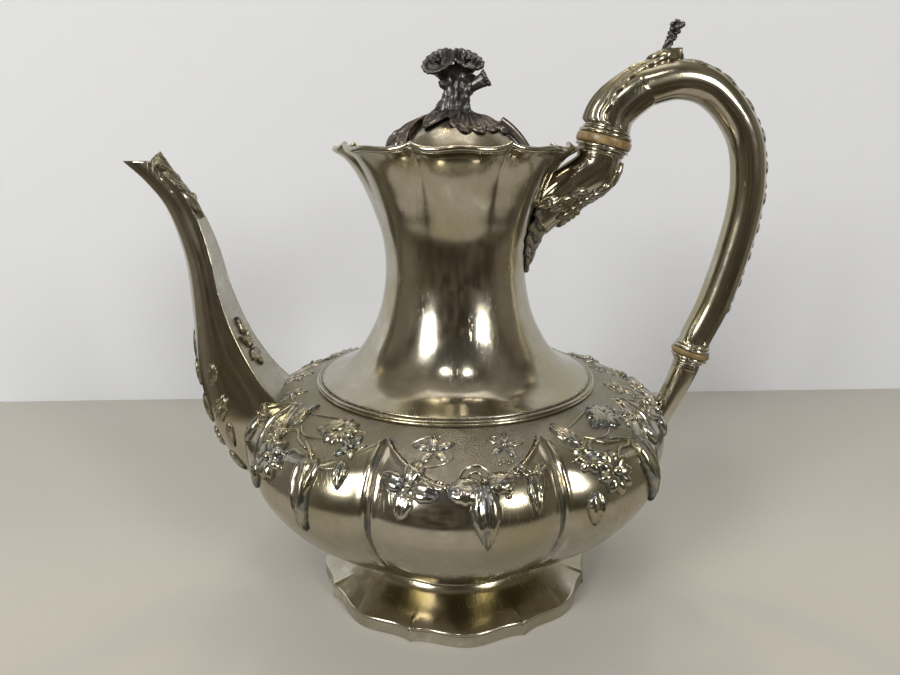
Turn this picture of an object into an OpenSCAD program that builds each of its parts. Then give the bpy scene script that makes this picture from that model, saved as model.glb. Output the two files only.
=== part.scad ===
// Silver coffee pot on a spreading foot: lobed bowl, flared neck, hinged lid,
// flat-backed spout and a hollow handle held off the hot body by two bone insulators.
// Millimetres. +Z is up, the spout points to -X, the handle to +X, the table is Z = 0.

/* [Bowl] */
// Radius of the bowl at its fullest, over the middle of a lobe
bowl_r = 96; // [84:1:116]
// Height of the fullest part of the bowl
bowl_mid_z = 69; // [58:1:80]
// Height of the flat underside, where the foot is soldered on
bowl_base_z = 21; // [17:1:28]
// Radius of that flat underside
bowl_base_r = 44; // [36:1:52]
// How deep the creases between the lobes are
crease_depth = 4.6; // [2:0.2:7]
// Thickness of the raised sheet of the bowl
bowl_wall = 1.2; // [1:0.1:2]
// Number of lobes of the bowl, panels of the neck and sides of the foot
lobes = 8; // [6:2:12]

/* [Neck and rim] */
// Height of the ring between the bowl and the neck
ring_z = 99; // [90:1:112]
// Radius of that ring
ring_r = 62.5; // [54:0.5:72]
// Radius of the neck at its waist
waist_r = 31; // [26:0.5:37]
// Height of the waist above that ring
waist_rise = 51; // [40:1:62]
// Radius of the wavy rim
rim_r = 51.3; // [46:0.5:60]
// Height of the rim's edge
rim_z = 199; // [186:1:225]
// How far the rim is pinched in between two of its lobes
rim_pinch = 2.4; // [0:0.2:4]
// How far the rim rises at each pinch
rim_lift = 1.5; // [0:0.1:3]
// Radius of the wire along the rim
rim_wire_r = 1.1; // [0.8:0.1:1.6]
// Thickness of the sheet of the neck
neck_wall = 1.1; // [1:0.1:2]

/* [Foot] */
// Radius of the foot over its corners and bulges
foot_r = 64.4; // [56:0.5:76]
// Height of the upright band round the foot
apron_h = 4.9; // [3.5:0.1:8]
// How far the sides of the foot dip in
foot_dip = 2.6; // [0:0.2:4]
// How far the foot is turned against the bowl, in degrees
foot_turn = 2.5; // [-5:0.5:5]

/* [Lid] */
// How deep below the rim the ledge lies that the lid rests on
seat_drop = 15; // [10:0.5:20]
// Play between the lid's edge and the neck
lid_play = 0.6; // [0.3:0.1:1.2]
// Height of the dome above the lid's edge
dome_h = 28; // [20:1:34]
// How far the lid opens, in degrees
lid_open = 0; // [0:1:50]

/* [Spout] */
// How far the spout's tip stands out from the bowl
spout_reach = 45; // [36:1:56]
// How far the spout's tip lies below the rim
spout_drop = 4; // [-6:0.5:24]
// Half the width of the spout where it leaves the bowl
spout_root_w = 19; // [14:0.5:22]
// Thickness of the sheet of the spout
spout_wall = 1.1; // [0.8:0.1:1.6]
// Diameter of one strainer hole
strainer_d = 4; // [2.5:0.5:5]

/* [Handle] */
// Height of the upper insulator above the rim
grip_rise = 4; // [0:0.5:12]
// Distance of the upper insulator from the pot's axis
grip_x = 64; // [58:1:78]
// How far the lower insulator stands out from the bowl
grip_low_out = 14.4; // [10:0.5:22]
// Height of the lower insulator above the ring
grip_low_rise = 8.8; // [4:0.2:16]
// Radius of the hollow handle at its top
handle_r = 7.5; // [6:0.1:9.5]
// Radius of the upper insulator
upper_ins_r = 11.8; // [10.8:0.1:14]
// Radius of the lower insulator
lower_ins_r = 8.6; // [8:0.1:11]
// Radius of a pin that holds the handle to an insulator
pin_r = 0.8; // [0.6:0.05:1.1]
// Thickness of the sheet of the handle and its sockets
tube_wall = 1.2; // [0.9:0.1:1.8]

/* [Hidden] */
solder_gap = 0.05;      // film between two soldered pieces
fit_gap = 0.05;         // radial play of a tenon or a pin in its bore
lid_gap = 0.3;          // the lid hangs this far above its ledge
ring_half = 1.1;        // half the height of the shoulder ring
around = lobes * 8;     // steps round the bowl, the neck and the foot
lobe_angle = 360 / lobes;
silver = [0.62, 0.58, 0.50];
dark_silver = [0.36, 0.35, 0.34];
bone = [0.72, 0.62, 0.36];

// ---- small helpers ----
function mix(a, b, t) = a + (b - a) * t;
function limit(v) = min(1, max(0, v));
function ease(v) = let (u = limit(v)) u * u * (3 - 2 * u);
// One point of a smooth curve through the points p, between point i and the next one
function curve_at(p, i, u) =
    let (
        n = len(p),
        a = i > 0 ? p[i - 1] : 2 * p[0] - p[1],
        b = p[i],
        c = p[i + 1],
        d = i + 2 < n ? p[i + 2] : 2 * p[n - 1] - p[n - 2]
    )
    b + 0.5 * u * (c - a + u * (2 * a - 5 * b + 4 * c - d + u * (3 * b - 3 * c + d - a)));
// The whole curve, with a number of steps between two of its points
function curve(p, steps) = concat(
    [for (i = [0:len(p) - 2], k = [0:steps - 1]) curve_at(p, i, k / steps)],
    [p[len(p) - 1]]
);
// Where an angle lies across its lobe: 0 in the middle, 1 at a crease
function across(a) = let (m = (a + lobe_angle / 2) % lobe_angle) abs(2 * m / lobe_angle - 1);
function angle_of(j) = 360 * j / around;
// Value between the entries of a list, at a share x of its length
function pick(list, x) =
    let (q = x * (len(list) - 1), k = min(floor(q), len(list) - 2)) mix(list[k], list[k + 1], q - k);

// A solid skinned over rings of equal length, capped flat, or closed on itself
module loft(rings, closed = false) {
    n = len(rings[0]);
    m = len(rings);
    sides = [
        for (i = [0:m - (closed ? 1 : 2)], j = [0:n - 1])
            let (k = (i + 1) % m, l = (j + 1) % n) [i * n + j, k * n + j, k * n + l, i * n + l]
    ];
    caps = closed ? [] : [[for (j = [0:n - 1]) j], [for (j = [n - 1:-1:0]) (m - 1) * n + j]];
    polyhedron(points = [for (r = rings, q = r) q], faces = concat(sides, caps), convexity = 8);
}
// Makes one plain mesh of what it holds
module one_mesh() {
    resize([0, 0, 0]) children();
}
function flipped(list) = [for (i = [len(list) - 1:-1:0]) list[i]];

// ---- bowl ----
crease_bend = 2.6;      // a higher number makes the creases sharper
crease_in = 10;         // height over which the creases start, above the underside
crease_out = 12;        // height over which they fade, below the ring
crease_stop = 3;        // they end this far below the ring
bowl_top_z = ring_z - ring_half - solder_gap;
// The profile's lower half, as shares of the way from the underside out and up to the fullest part
bowl_low_shape = [
    [0, 0], [0.12, 0.03], [0.28, 0.13], [0.44, 0.25], [0.6, 0.39], [0.76, 0.55], [0.9, 0.74], [0.98, 0.9]
];
// The upper half, as shares of the way from the ring out and from the fullest part up
bowl_top_shape = [[1, 0], [0.99, 0.25], [0.9, 0.5], [0.72, 0.7], [0.38, 0.88], [0, 1]];
function bowl_profile(inset, steps) = concat(
    curve(concat(
        [
            for (q = bowl_low_shape)
                [mix(bowl_base_r, bowl_r, q[0]) - inset, mix(bowl_base_z + inset, bowl_mid_z, q[1])]
        ],
        [
            for (q = bowl_top_shape)
                [mix(ring_r, bowl_r, q[0]) - inset, mix(bowl_mid_z, bowl_top_z - inset, q[1])]
        ]
    ), steps),
    inset > 0 ? [[ring_r - inset, bowl_top_z]] : []
);
function crease_at(z) =
    crease_depth * ease((z - bowl_base_z - 1) / crease_in)
    * ease((bowl_top_z - crease_stop - z) / crease_out);
function bowl_ring(p) =
    let (c = crease_at(p[1]))
    [
        for (j = [0:around - 1])
            let (t = angle_of(j), r = p[0] - c * pow(across(t), crease_bend))
            [r * cos(t), r * sin(t), p[1]]
    ];
function bowl_rings(inset, steps) = [for (p = bowl_profile(inset, steps)) bowl_ring(p)];
module bowl_body(grow) {
    loft(bowl_rings(-grow, 2));
}
strainer_z = bowl_mid_z - 3;
strainer_pitch = 1.8 * strainer_d;
strainer_row = 0.86 * strainer_pitch;
module strainer_holes() {
    for (row = [-2:2], side = [-1:1]) {
        // every second row is set half a pitch aside and has one hole less
        place = row % 2 == 0 ? side : side + 0.5;
        if (place <= 1)
            translate([-bowl_r - 4, place * strainer_pitch, strainer_z + row * strainer_row])
                rotate([0, 90, 0])
                    cylinder(d = strainer_d, h = 14, $fn = 12);
    }
}
module bowl() {
    color(silver)
        one_mesh()
            difference() {
                loft(concat(bowl_rings(0, 2), flipped(bowl_rings(bowl_wall, 1))));
                strainer_holes();
            }
}

// ---- neck ----
waist_z = ring_z + waist_rise;
lip_h = 12;             // the top of the neck, which follows the wave of the rim
neck_base_z = ring_z + ring_half + solder_gap;
neck_base_r = ring_r - 1;
panel_start_z = waist_z + 10;
// Shares of the way out from the waist to the ring, and up from the ring to the waist
neck_low_shape = [[1, 0], [0.67, 0.09], [0.43, 0.22], [0.25, 0.39], [0.12, 0.57], [0.03, 0.79]];
// Shares of the way out from the waist to the rim, and up from the waist to the rim
neck_top_shape = [[0, 0], [0.05, 0.25], [0.19, 0.45], [0.36, 0.63], [0.57, 0.81], [0.8, 0.94], [1, 1]];
neck_line = curve(concat(
    [for (q = neck_low_shape) [mix(waist_r, neck_base_r, q[0]), mix(neck_base_z, waist_z, q[1])]],
    [for (q = neck_top_shape) [mix(waist_r, rim_r, q[0]), mix(waist_z, rim_z, q[1])]]
), 2);
neck_by_height = [for (p = neck_line) [p[1], p[0]]];
// The neck's outer radius over the middle of a panel, at a height
function neck_r_at(z) = lookup(z, neck_by_height);
function panel_at(z) = rim_pinch * ease((z - panel_start_z) / (rim_z - panel_start_z));
function rim_wave(t) = rim_lift * pow(across(t), 8) - 0.4 * rim_lift * (1 - cos(360 * across(t))) / 2;
function neck_ring(p, inset) =
    let (
        c = panel_at(p[1]),
        up = pow(limit(1 - (rim_z - p[1]) / lip_h), 2),
        z = max(neck_base_z, p[1] - inset * ease((waist_z - 20 - p[1]) / 20))
    )
    [
        for (j = [0:around - 1])
            let (t = angle_of(j), r = p[0] - inset - c * pow(across(t), crease_bend))
            [r * cos(t), r * sin(t), z + up * rim_wave(t)]
    ];
function neck_rings(inset, step) =
    [for (i = [0:step:len(neck_line) - 1]) neck_ring(neck_line[i], inset)];
module neck_body(grow) {
    loft(neck_rings(-grow, 1));
}
module neck() {
    color(silver)
        loft(concat(neck_rings(0, 1), flipped(neck_rings(neck_wall, 2))), closed = true);
}
module rim_wire() {
    sides = 8;
    color(silver)
        loft(closed = true, rings = flipped([
            for (j = [0:around - 1])
                let (
                    t = angle_of(j),
                    r = rim_r - 0.15 - rim_pinch * pow(across(t), crease_bend),
                    z = rim_z + rim_wave(t) + rim_wire_r + solder_gap
                )
                [
                    for (k = [0:sides - 1])
                        let (b = 360 * k / sides, q = r + rim_wire_r * cos(b))
                        [q * cos(t), q * sin(t), z + rim_wire_r * sin(b)]
                ]
        ]));
}
module shoulder_ring() {
    ring_in = 2.2;
    bead_r = 0.6;
    color(silver)
        rotate_extrude($fn = 128) {
            translate([ring_r - ring_in, ring_z - ring_half])
                square([ring_in + 0.4, 2 * ring_half]);
            translate([ring_r + 0.4, ring_z + bead_r - 0.1])
                circle(r = bead_r, $fn = 24);
            translate([ring_r + 0.6, ring_z - bead_r + 0.1])
                circle(r = bead_r, $fn = 24);
        }
}

// ---- foot ----
collar_h = 2.6;
foot_wall = 1.2;
foot_top_z = bowl_base_z - collar_h - 2 * solder_gap;
function foot_edge(t) =
    let (x = across(t - foot_turn))
    foot_r - foot_dip * ease(x / 0.75) + 0.6 * foot_dip * pow(x, 8);
// Radius as a share of the way out, and height as a share of the way up
foot_points = [[0, 1], [-0.03, 0.82], [0, 0.62], [0.13, 0.42], [0.35, 0.27], [0.65, 0.14], [1, 0]];
foot_low_z = apron_h + solder_gap;
function foot_ring(p, under) = [
    for (j = [0:around - 1])
        let (
            t = angle_of(j),
            edge = mix(foot_r, foot_edge(t), ease(p[0])),
            r = mix(bowl_base_r - 1, edge, p[0]) - (p[0] < 0.3 ? under : 0),
            z = mix(foot_low_z + foot_wall, foot_top_z, p[1]) - (p[0] < 0.3 ? 0 : under)
        )
        [r * cos(t), r * sin(t), z]
];
module foot_collar() {
    color(silver)
        rotate_extrude($fn = 128) {
            translate([bowl_base_r - 4, foot_top_z + solder_gap])
                square([4, collar_h]);
            translate([bowl_base_r, foot_top_z + solder_gap + collar_h / 2])
                circle(r = collar_h / 2 - 0.1, $fn = 24);
        }
}
module foot() {
    path = curve(foot_points, 1);
    color(silver)
        loft(closed = true, rings = flipped(concat(
            [for (p = path) foot_ring(p, 0)],
            flipped([for (p = path) foot_ring(p, foot_wall)])
        )));
}
module foot_outline(inset) {
    polygon([
        for (j = [0:around - 1])
            let (t = angle_of(j), r = foot_edge(t) - inset) [r * cos(t), r * sin(t)]
    ]);
}
module foot_apron() {
    color(silver)
        linear_extrude(apron_h)
            difference() {
                foot_outline(0);
                foot_outline(foot_wall);
            }
}

// ---- spout ----
// At each station: the front edge's distance out from the bowl and its share of the height, the same
// two for the back edge, and the width as a share of the root's width
spout_root_z = 36;
spout_tip_z = rim_z - spout_drop;
spout_stations = [
    [-14, 0, -20, 0.33, 1],
    [7, 0.135, -10.5, 0.4, 0.87],
    [17, 0.27, -3, 0.48, 0.73],
    [21, 0.415, 2.7, 0.565, 0.64],
    [21.3, 0.59, 7, 0.66, 0.55],
    [22.5, 0.74, 9.8, 0.76, 0.44],
    [28, 0.87, 14.8, 0.86, 0.32],
    [36, 0.945, 22.5, 0.937, 0.26],
    [45, 1, 32.5, 1, 0.215]
];
spout_unit = spout_reach / 45;
spout_line = curve(spout_stations, 3);
spout_sides = 16;
function spout_z(f) = mix(spout_root_z, spout_tip_z, f);
function spout_front(s) = [-bowl_r - s[0] * spout_unit, spout_z(s[1])];
function spout_back(s) = [-bowl_r - s[2] * spout_unit, spout_z(s[3])];
// Outline of the spout's section: flat at the back, full at the sides and rounded in front.
// Gives the share of the half width and the share of the way from the back to the front.
flat_points = 4;
flat_edge = 0.06;       // the ridges beside the flat back lie this share in front of it
function spout_section(k) =
    k < flat_points
        ? [mix(-1, 1, (k + 0.5) / flat_points), 0]
        : let (b = 180 * (k - flat_points) / (spout_sides - flat_points - 1))
            [1.06 * cos(b) * (1 - 0.1 * pow(sin(b), 3)), mix(flat_edge, 1, pow(sin(b), 0.8))];
function spout_ring(s, inset) =
    let (
        f = spout_front(s),
        b = spout_back(s),
        depth = norm(f - b),
        unit = (f - b) / depth,
        w = spout_root_w * s[4] - inset,
        base = b + unit * inset
    )
    [
        for (k = [0:spout_sides - 1])
            let (q = spout_section(k), c = base + unit * (q[1] * (depth - 2 * inset)))
            [c[0], w * q[0], c[1]]
    ];
module spout_body(grow) {
    loft([for (s = spout_line) spout_ring(s, -grow)]);
}
module spout() {
    color(silver)
        one_mesh()
            difference() {
                loft(closed = true, rings = concat(
                    [for (s = spout_line) spout_ring(s, 0)],
                    flipped([for (s = spout_line) spout_ring(s, spout_wall)])
                ));
                bowl_body(solder_gap);
            }
}
// A leaf on the flat back of the spout, from one station to another
function back_leaf_ring(s, half, lift, thick) =
    let (
        f = spout_front(s),
        b = spout_back(s),
        unit = (b - f) / norm(f - b),
        low = b + unit * lift,
        high = b + unit * (lift + thick)
    )
    [
        [low[0], half, low[1]],
        [low[0], -half, low[1]],
        [high[0], -0.6 * half, high[1]],
        [high[0], 0.6 * half, high[1]]
    ];
module back_leaf(first, last, half, thick, curl = 0) {
    n = last - first;
    loft([
        for (i = [0:n])
            let (x = i / n, wide = half * (0.25 + 0.75 * sin(180 * pow(x, 0.7))))
            back_leaf_ring(spout_line[first + i], wide, solder_gap + curl * x * x, thick)
    ]);
}
module spout_tip_leaf() {
    color(silver)
        back_leaf(17, len(spout_line) - 1, half = 4.6, thick = 1.8, curl = 2.4);
}
module spout_back_sprig() {
    color(silver)
        back_leaf(5, 9, half = 6, thick = 1.2);
}
// Domed rosettes on the flanks and under the front: station, place round the section, radius of
// the ball that the dome is cut from
rosette_places = [[3, 14, 9], [3, 5, 9], [6, 12, 7.2], [6, 7, 7.2], [2, 10, 8.1], [5, 9, 6.3]];
module spout_rosettes() {
    rise = 1.2;
    color(silver)
        one_mesh()
            difference() {
                for (p = rosette_places) {
                    ring = spout_ring(spout_line[p[0]], 0);
                    middle = (ring[0] + ring[9]) / 2;
                    at = ring[p[1]];
                    out = (at - middle) / norm(at - middle);
                    translate(at + out * (rise - p[2]))
                        sphere(r = p[2], $fn = 18);
                }
                spout_body(solder_gap);
                bowl_body(solder_gap);
            }
}

// ---- handle ----
upper_tilt = 14;
lower_tilt = 15.5;
pin_turn = 25;
upper_pin_inset = 2.7;  // from the middle of a pin to the end of its sleeve
lower_pin_inset = 2.2;
upper_at = [grip_x, rim_z + grip_rise];
lower_at = [bowl_r + grip_low_out, ring_z + grip_low_rise];
upper_band = 3.8;
lower_band = 2.6;
upper_sleeve = 9;       // from the middle of the insulator to the end of a sleeve
lower_sleeve = 8;
upper_pin_z = upper_sleeve - upper_pin_inset;
lower_pin_z = lower_sleeve - lower_pin_inset;
upper_sleeve_r = 9.6;
lower_sleeve_r = 6.9;
lower_socket_r = 6.1;
upper_tenon_r = 6.4;
lower_tenon_r = 4;
function along(angle, d) = [d * sin(angle), d * cos(angle)];
module at_upper() {
    translate([upper_at[0], 0, upper_at[1]]) rotate([0, upper_tilt, 0]) children();
}
module at_lower() {
    translate([lower_at[0], 0, lower_at[1]]) rotate([0, lower_tilt, 0]) children();
}
// Points of the handle's middle line: shares of the way from the upper to the lower insulator
handle_shape = [
    [0.15, 1.15], [0.36, 1.235], [0.655, 1.265], [0.95, 1.23], [1.2, 1.12], [1.35, 0.99],
    [1.405, 0.83], [1.4, 0.7], [1.355, 0.56], [1.28, 0.4], [1.18, 0.235]
];
handle_start = upper_at + along(upper_tilt, upper_sleeve + solder_gap);
handle_end = lower_at + along(lower_tilt, lower_sleeve + solder_gap);
straight = 0.5;         // a tube starts this far in line with its collar
handle_path = concat([handle_start], curve(concat(
    [handle_start + along(upper_tilt, straight)],
    [
        for (q = handle_shape)
            [mix(upper_at[0], lower_at[0], q[0]), mix(lower_at[1], upper_at[1], q[1])]
    ],
    [handle_end + along(lower_tilt, straight)]
), 3), [handle_end]);
upper_start = upper_at - along(upper_tilt, upper_sleeve + solder_gap);
upper_path = concat([upper_start], curve([
    upper_start - along(upper_tilt, straight),
    upper_at + [-8.6, -13], upper_at + [-14, -18.6], upper_at + [-21.5, -24.5], upper_at + [-30, -31]
], 3));
lower_start = lower_at - along(lower_tilt, lower_sleeve + solder_gap);
lower_path = concat([lower_start], curve([
    lower_start - along(lower_tilt, straight),
    lower_at + [-7, -20], lower_at + [-13, -33], lower_at + [-19, -46]
], 3));
// Direction along a path at one of its points
function heading(path, i) =
    let (a = path[max(0, i - 1)], b = path[min(len(path) - 1, i + 1)]) (b - a) / norm(b - a);
// A point at an angle round a path: 0 is the outer side
function round_point(path, i, r, angle) =
    let (t = heading(path, i), c = path[i])
    [c[0] - t[1] * r * cos(angle), r * sin(angle), c[1] + t[0] * r * cos(angle)];
function tube_ring(path, i, r, sides) =
    [for (k = [0:sides - 1]) round_point(path, i, r, -360 * k / sides)];
module tube(path, radii, wall, sides = 16) {
    n = len(path) - 1;
    loft(closed = true, rings = concat(
        [for (i = [0:n]) tube_ring(path, i, pick(radii, i / n), sides)],
        flipped([for (i = [0:n]) tube_ring(path, i, pick(radii, i / n) - wall, sides)])
    ));
}
handle_radii = [
    upper_sleeve_r, 1.11 * handle_r, handle_r, handle_r, handle_r, handle_r, lower_sleeve_r
];
function handle_r_at(i) = pick(handle_radii, i / (len(handle_path) - 1));
module handle_tube() {
    color(silver)
        tube(handle_path, handle_radii, tube_wall);
}
// Foliage plate between the neck and the upper socket
foliage_top = rim_z - 17;
foliage_low = waist_z - 3;
foliage_half = 24;      // half its width, in degrees round the neck
foliage_min = 1;
foliage_max = 14;
function foliage_rise(f, x) = mix(foliage_min, foliage_max, pow(f, 1.3) * pow(cos(80 * x), 2));
module foliage_body(lift) {
    rows = 8;
    cols = 6;
    loft([
        for (i = [0:rows])
            let (
                f = i / rows,
                z = mix(foliage_low, foliage_top, f),
                base = neck_r_at(z) + solder_gap,
                wide = foliage_half * mix(0.25, 1, sin(20 + 130 * f))
            )
            concat(
                [
                    for (k = [-cols:cols])
                        let (x = k / cols, t = wide * x, r = base + lift + foliage_rise(f, x))
                        [r * cos(t), r * sin(t), z]
                ],
                [
                    for (k = [cols:-1:-cols])
                        let (x = k / cols, t = wide * x) [base * cos(t), base * sin(t), z]
                ]
            )
    ]);
}
module upper_socket_foliage() {
    color(dark_silver)
        foliage_body(0);
}
module upper_socket() {
    color(silver)
        one_mesh()
            difference() {
                tube(upper_path, [upper_sleeve_r, 9.3, 9.2, 9.6, 10.5], tube_wall);
                neck_body(solder_gap);
                foliage_body(solder_gap);
            }
}
module lower_socket() {
    color(silver)
        one_mesh()
            difference() {
                tube(lower_path, [lower_socket_r, 5.6, 5.2, 5], tube_wall);
                bowl_body(solder_gap);
            }
}
// One side of a joint: a moulded collar on a sleeve, bored for the tenon and the pin
module collar(band, band_r, sleeve_r, sleeve, pin_z, tenon_r, turn) {
    start = band / 2 + solder_gap;
    bead_r = 0.8;
    difference() {
        union() {
            translate([0, 0, start])
                cylinder(r = sleeve_r, h = sleeve - start, $fn = 48);
            rotate_extrude($fn = 64)
                translate([band_r - 1.4, start + bead_r])
                    circle(r = bead_r, $fn = 24);
            translate([0, 0, start])
                cylinder(r = band_r - 1.4, h = 2 * bead_r, $fn = 64);
            rotate_extrude($fn = 64)
                translate([sleeve_r - 0.2, start + 2.2])
                    circle(r = bead_r, $fn = 24);
        }
        cylinder(r = tenon_r + fit_gap, h = sleeve + 1, $fn = 48);
        rotate([0, 0, turn])
            translate([0, 0, pin_z])
                rotate([90, 0, 0])
                    cylinder(r = pin_r + fit_gap, h = 40, center = true, $fn = 24);
    }
}
module insulator(band, band_r, sleeve, pin_z, tenon_r) {
    difference() {
        union() {
            translate([0, 0, -band / 2])
                cylinder(r = band_r, h = band, $fn = 64);
            translate([0, 0, -sleeve + 0.5])
                cylinder(r = tenon_r, h = 2 * sleeve - 1, $fn = 48);
        }
        for (side = [-1, 1])
            rotate([0, 0, pin_turn])
                translate([0, 0, side * pin_z])
                    rotate([90, 0, 0])
                        cylinder(r = pin_r + fit_gap, h = 40, center = true, $fn = 24);
    }
}
module upper_socket_collar() {
    color(silver) at_upper() rotate([180, 0, 0])
        collar(upper_band, upper_ins_r, upper_sleeve_r, upper_sleeve, upper_pin_z, upper_tenon_r, -pin_turn);
}
module upper_handle_collar() {
    color(silver) at_upper()
        collar(upper_band, upper_ins_r, upper_sleeve_r, upper_sleeve, upper_pin_z, upper_tenon_r, pin_turn);
}
module upper_insulator() {
    color(bone) at_upper()
        insulator(upper_band, upper_ins_r, upper_sleeve, upper_pin_z, upper_tenon_r);
}
module lower_handle_collar() {
    color(silver) at_lower()
        collar(lower_band, lower_ins_r, lower_sleeve_r, lower_sleeve, lower_pin_z, lower_tenon_r, pin_turn);
}
module lower_socket_collar() {
    color(silver) at_lower() rotate([180, 0, 0])
        collar(lower_band, lower_ins_r, lower_socket_r, lower_sleeve, lower_pin_z, lower_tenon_r, -pin_turn);
}
module lower_insulator() {
    color(bone) at_lower()
        insulator(lower_band, lower_ins_r, lower_sleeve, lower_pin_z, lower_tenon_r);
}
module handle_pin(half) {
    head_h = 0.7;
    rotate([90, 0, 0]) {
        cylinder(r = pin_r, h = 2 * half, center = true, $fn = 24);
        for (side = [-1, 1])
            translate([0, 0, side * (half + head_h / 2)])
                cylinder(r = pin_r + 0.5, h = head_h, center = true, $fn = 24);
    }
}
module handle_pins() {
    color(silver) {
        at_upper()
            for (side = [-1, 1])
                rotate([0, 0, pin_turn])
                    translate([0, 0, side * upper_pin_z])
                        handle_pin(upper_sleeve_r + solder_gap);
        at_lower()
            for (side = [-1, 1])
                rotate([0, 0, pin_turn])
                    translate([0, 0, side * lower_pin_z])
                        handle_pin((side < 0 ? lower_socket_r : lower_sleeve_r) + solder_gap);
    }
}
// A strip that hugs the outer side of the handle
function strip_ring(i, r, half, thick, cols) = concat(
    [
        for (k = [-cols:cols])
            let (x = k / cols) round_point(handle_path, i, r + thick * (1 - 0.5 * x * x), half * x)
    ],
    [for (k = [cols:-1:-cols]) round_point(handle_path, i, r, half * k / cols)]
);
leaf_end = 9;
function leaf_rise(x) = 1.5 + 2.6 * pow(x, 3);
module thumb_leaf() {
    color(silver)
        loft(flipped([
            for (i = [0:leaf_end])
                let (x = i / leaf_end)
                strip_ring(i, handle_r_at(i) + solder_gap, mix(62, 14, pow(x, 1.3)), leaf_rise(x), 4)
        ]));
}
module handle_vine() {
    color(dark_silver)
        loft(flipped([
            for (i = [leaf_end + 1:len(handle_path) - 4])
                strip_ring(i, handle_r_at(i) + solder_gap, i % 2 == 0 ? 15 : 10, i % 2 == 0 ? 1.0 : 0.7, 2)
        ]));
}
module thumb_sprig() {
    above_leaf = 0.5;       // the sprig's foot clears the leaf by this much
    root = round_point(
        handle_path, leaf_end, handle_r_at(leaf_end) + leaf_rise(1) + above_leaf, 0
    );
    color(dark_silver)
        translate(root)
            rotate([0, 28, 0]) {
                cylinder(r1 = 1.6, r2 = 1.2, h = 7, $fn = 16);
                for (k = [0:2])
                    rotate([0, 0, 120 * k])
                        translate([0.8, 0, 8 + 0.8 * k])
                            sphere(r = 1.5, $fn = 20);
            }
}

// ---- lid ----
seat_z = rim_z - seat_drop;
seat_h = 1.2;
seat_w = 4;
lid_edge_z = seat_z + seat_h / 2 + lid_gap;
flange_h = 1.1;
lid_sheet = 1.2;
function neck_bore_at(z) = neck_r_at(z) - panel_at(z) - neck_wall;
seat_out = neck_bore_at(seat_z - seat_h / 2) - 0.1;
lid_r = neck_bore_at(seat_z) - lid_play;
dome_base_z = lid_edge_z + flange_h + solder_gap;
dome_base_r = lid_r - 2;
dome_r = (dome_base_r * dome_base_r + dome_h * dome_h) / (2 * dome_h);
dome_mid_z = dome_base_z + dome_h - dome_r;
function dome_z(d) = dome_mid_z + sqrt(max(0, dome_r * dome_r - d * d));
knuckle_r = 1.5;
hinge_pin_r = 0.75;
hinge_z = lid_edge_z + flange_h + knuckle_r + 0.2;
knuckle_w = 5;
knuckle_gap = 0.3;
hinge_half = 1.5 * knuckle_w + knuckle_gap;
hinge_bore = neck_r_at(hinge_z - knuckle_r) - neck_wall;
hinge_x = sqrt(hinge_bore * hinge_bore - hinge_half * hinge_half) - knuckle_r - 0.3;
top_z = dome_mid_z + dome_r;
stud_r = 1.5;
module turned_lid() {
    translate([hinge_x, 0, hinge_z])
        rotate([0, lid_open, 0])
            translate([-hinge_x, 0, -hinge_z])
                children();
}
module lid_seat() {
    color(silver)
        difference() {
            translate([0, 0, seat_z - seat_h / 2])
                cylinder(r = seat_out, h = seat_h, $fn = 128);
            translate([0, 0, seat_z - seat_h])
                cylinder(r = seat_out - seat_w, h = 2 * seat_h, $fn = 128);
        }
}
module lid_flange() {
    color(silver) turned_lid()
        difference() {
            translate([0, 0, lid_edge_z])
                cylinder(r = lid_r, h = flange_h, $fn = 128);
            translate([0, 0, lid_edge_z - 1])
                cylinder(r = dome_base_r - 2, h = flange_h + 2, $fn = 128);
        }
}
module lid_dome() {
    color(silver) turned_lid()
        difference() {
            translate([0, 0, dome_mid_z])
                sphere(r = dome_r, $fn = 96);
            translate([0, 0, dome_mid_z])
                sphere(r = dome_r - lid_sheet, $fn = 96);
            translate([-2 * dome_r, -2 * dome_r, dome_base_z - 4 * dome_r])
                cube(4 * dome_r);
            cylinder(r = stud_r + fit_gap, h = 2 * rim_z, $fn = 24);
        }
}
module knuckle(width, bore) {
    rotate([90, 0, 0])
        difference() {
            cylinder(r = knuckle_r, h = width, center = true, $fn = 32);
            cylinder(r = bore, h = width + 1, center = true, $fn = 32);
        }
}
module lid_hinge_leaf() {
    plate_z = lid_edge_z + flange_h + solder_gap;
    color(silver) turned_lid()
        difference() {
            union() {
                translate([hinge_x, 0, hinge_z]) knuckle(knuckle_w, hinge_pin_r + fit_gap);
                translate([dome_base_r + 0.25, -knuckle_w / 2, plate_z])
                    cube([hinge_x - dome_base_r - 0.25, knuckle_w, 1]);
            }
            translate([hinge_x, 0, hinge_z])
                rotate([90, 0, 0])
                    cylinder(r = hinge_pin_r + fit_gap, h = knuckle_w + 2, center = true, $fn = 32);
        }
}
module hinge_bracket() {
    // Two knuckles on lugs that stand on the lid's ledge, just beyond the lid's edge
    lug_low = seat_z + seat_h / 2 + solder_gap;
    lug_t = 1.1;
    color(silver)
        for (side = [-1, 1])
            translate([hinge_x, side * (knuckle_w + knuckle_gap), 0])
                difference() {
                    union() {
                        translate([0, 0, hinge_z]) knuckle(knuckle_w, hinge_pin_r + fit_gap);
                        translate([lid_r + 0.35 - hinge_x, -knuckle_w / 2, lug_low])
                            cube([lug_t, knuckle_w, hinge_z - lug_low]);
                    }
                    translate([0, 0, hinge_z])
                        rotate([90, 0, 0])
                            cylinder(r = hinge_pin_r + fit_gap, h = knuckle_w + 2, center = true, $fn = 32);
                }
}
module hinge_pin() {
    color(silver)
        translate([hinge_x, 0, hinge_z])
            rotate([90, 0, 0])
                cylinder(r = hinge_pin_r, h = 3 * knuckle_w + 2 * knuckle_gap + 1, center = true, $fn = 32);
}

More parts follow.
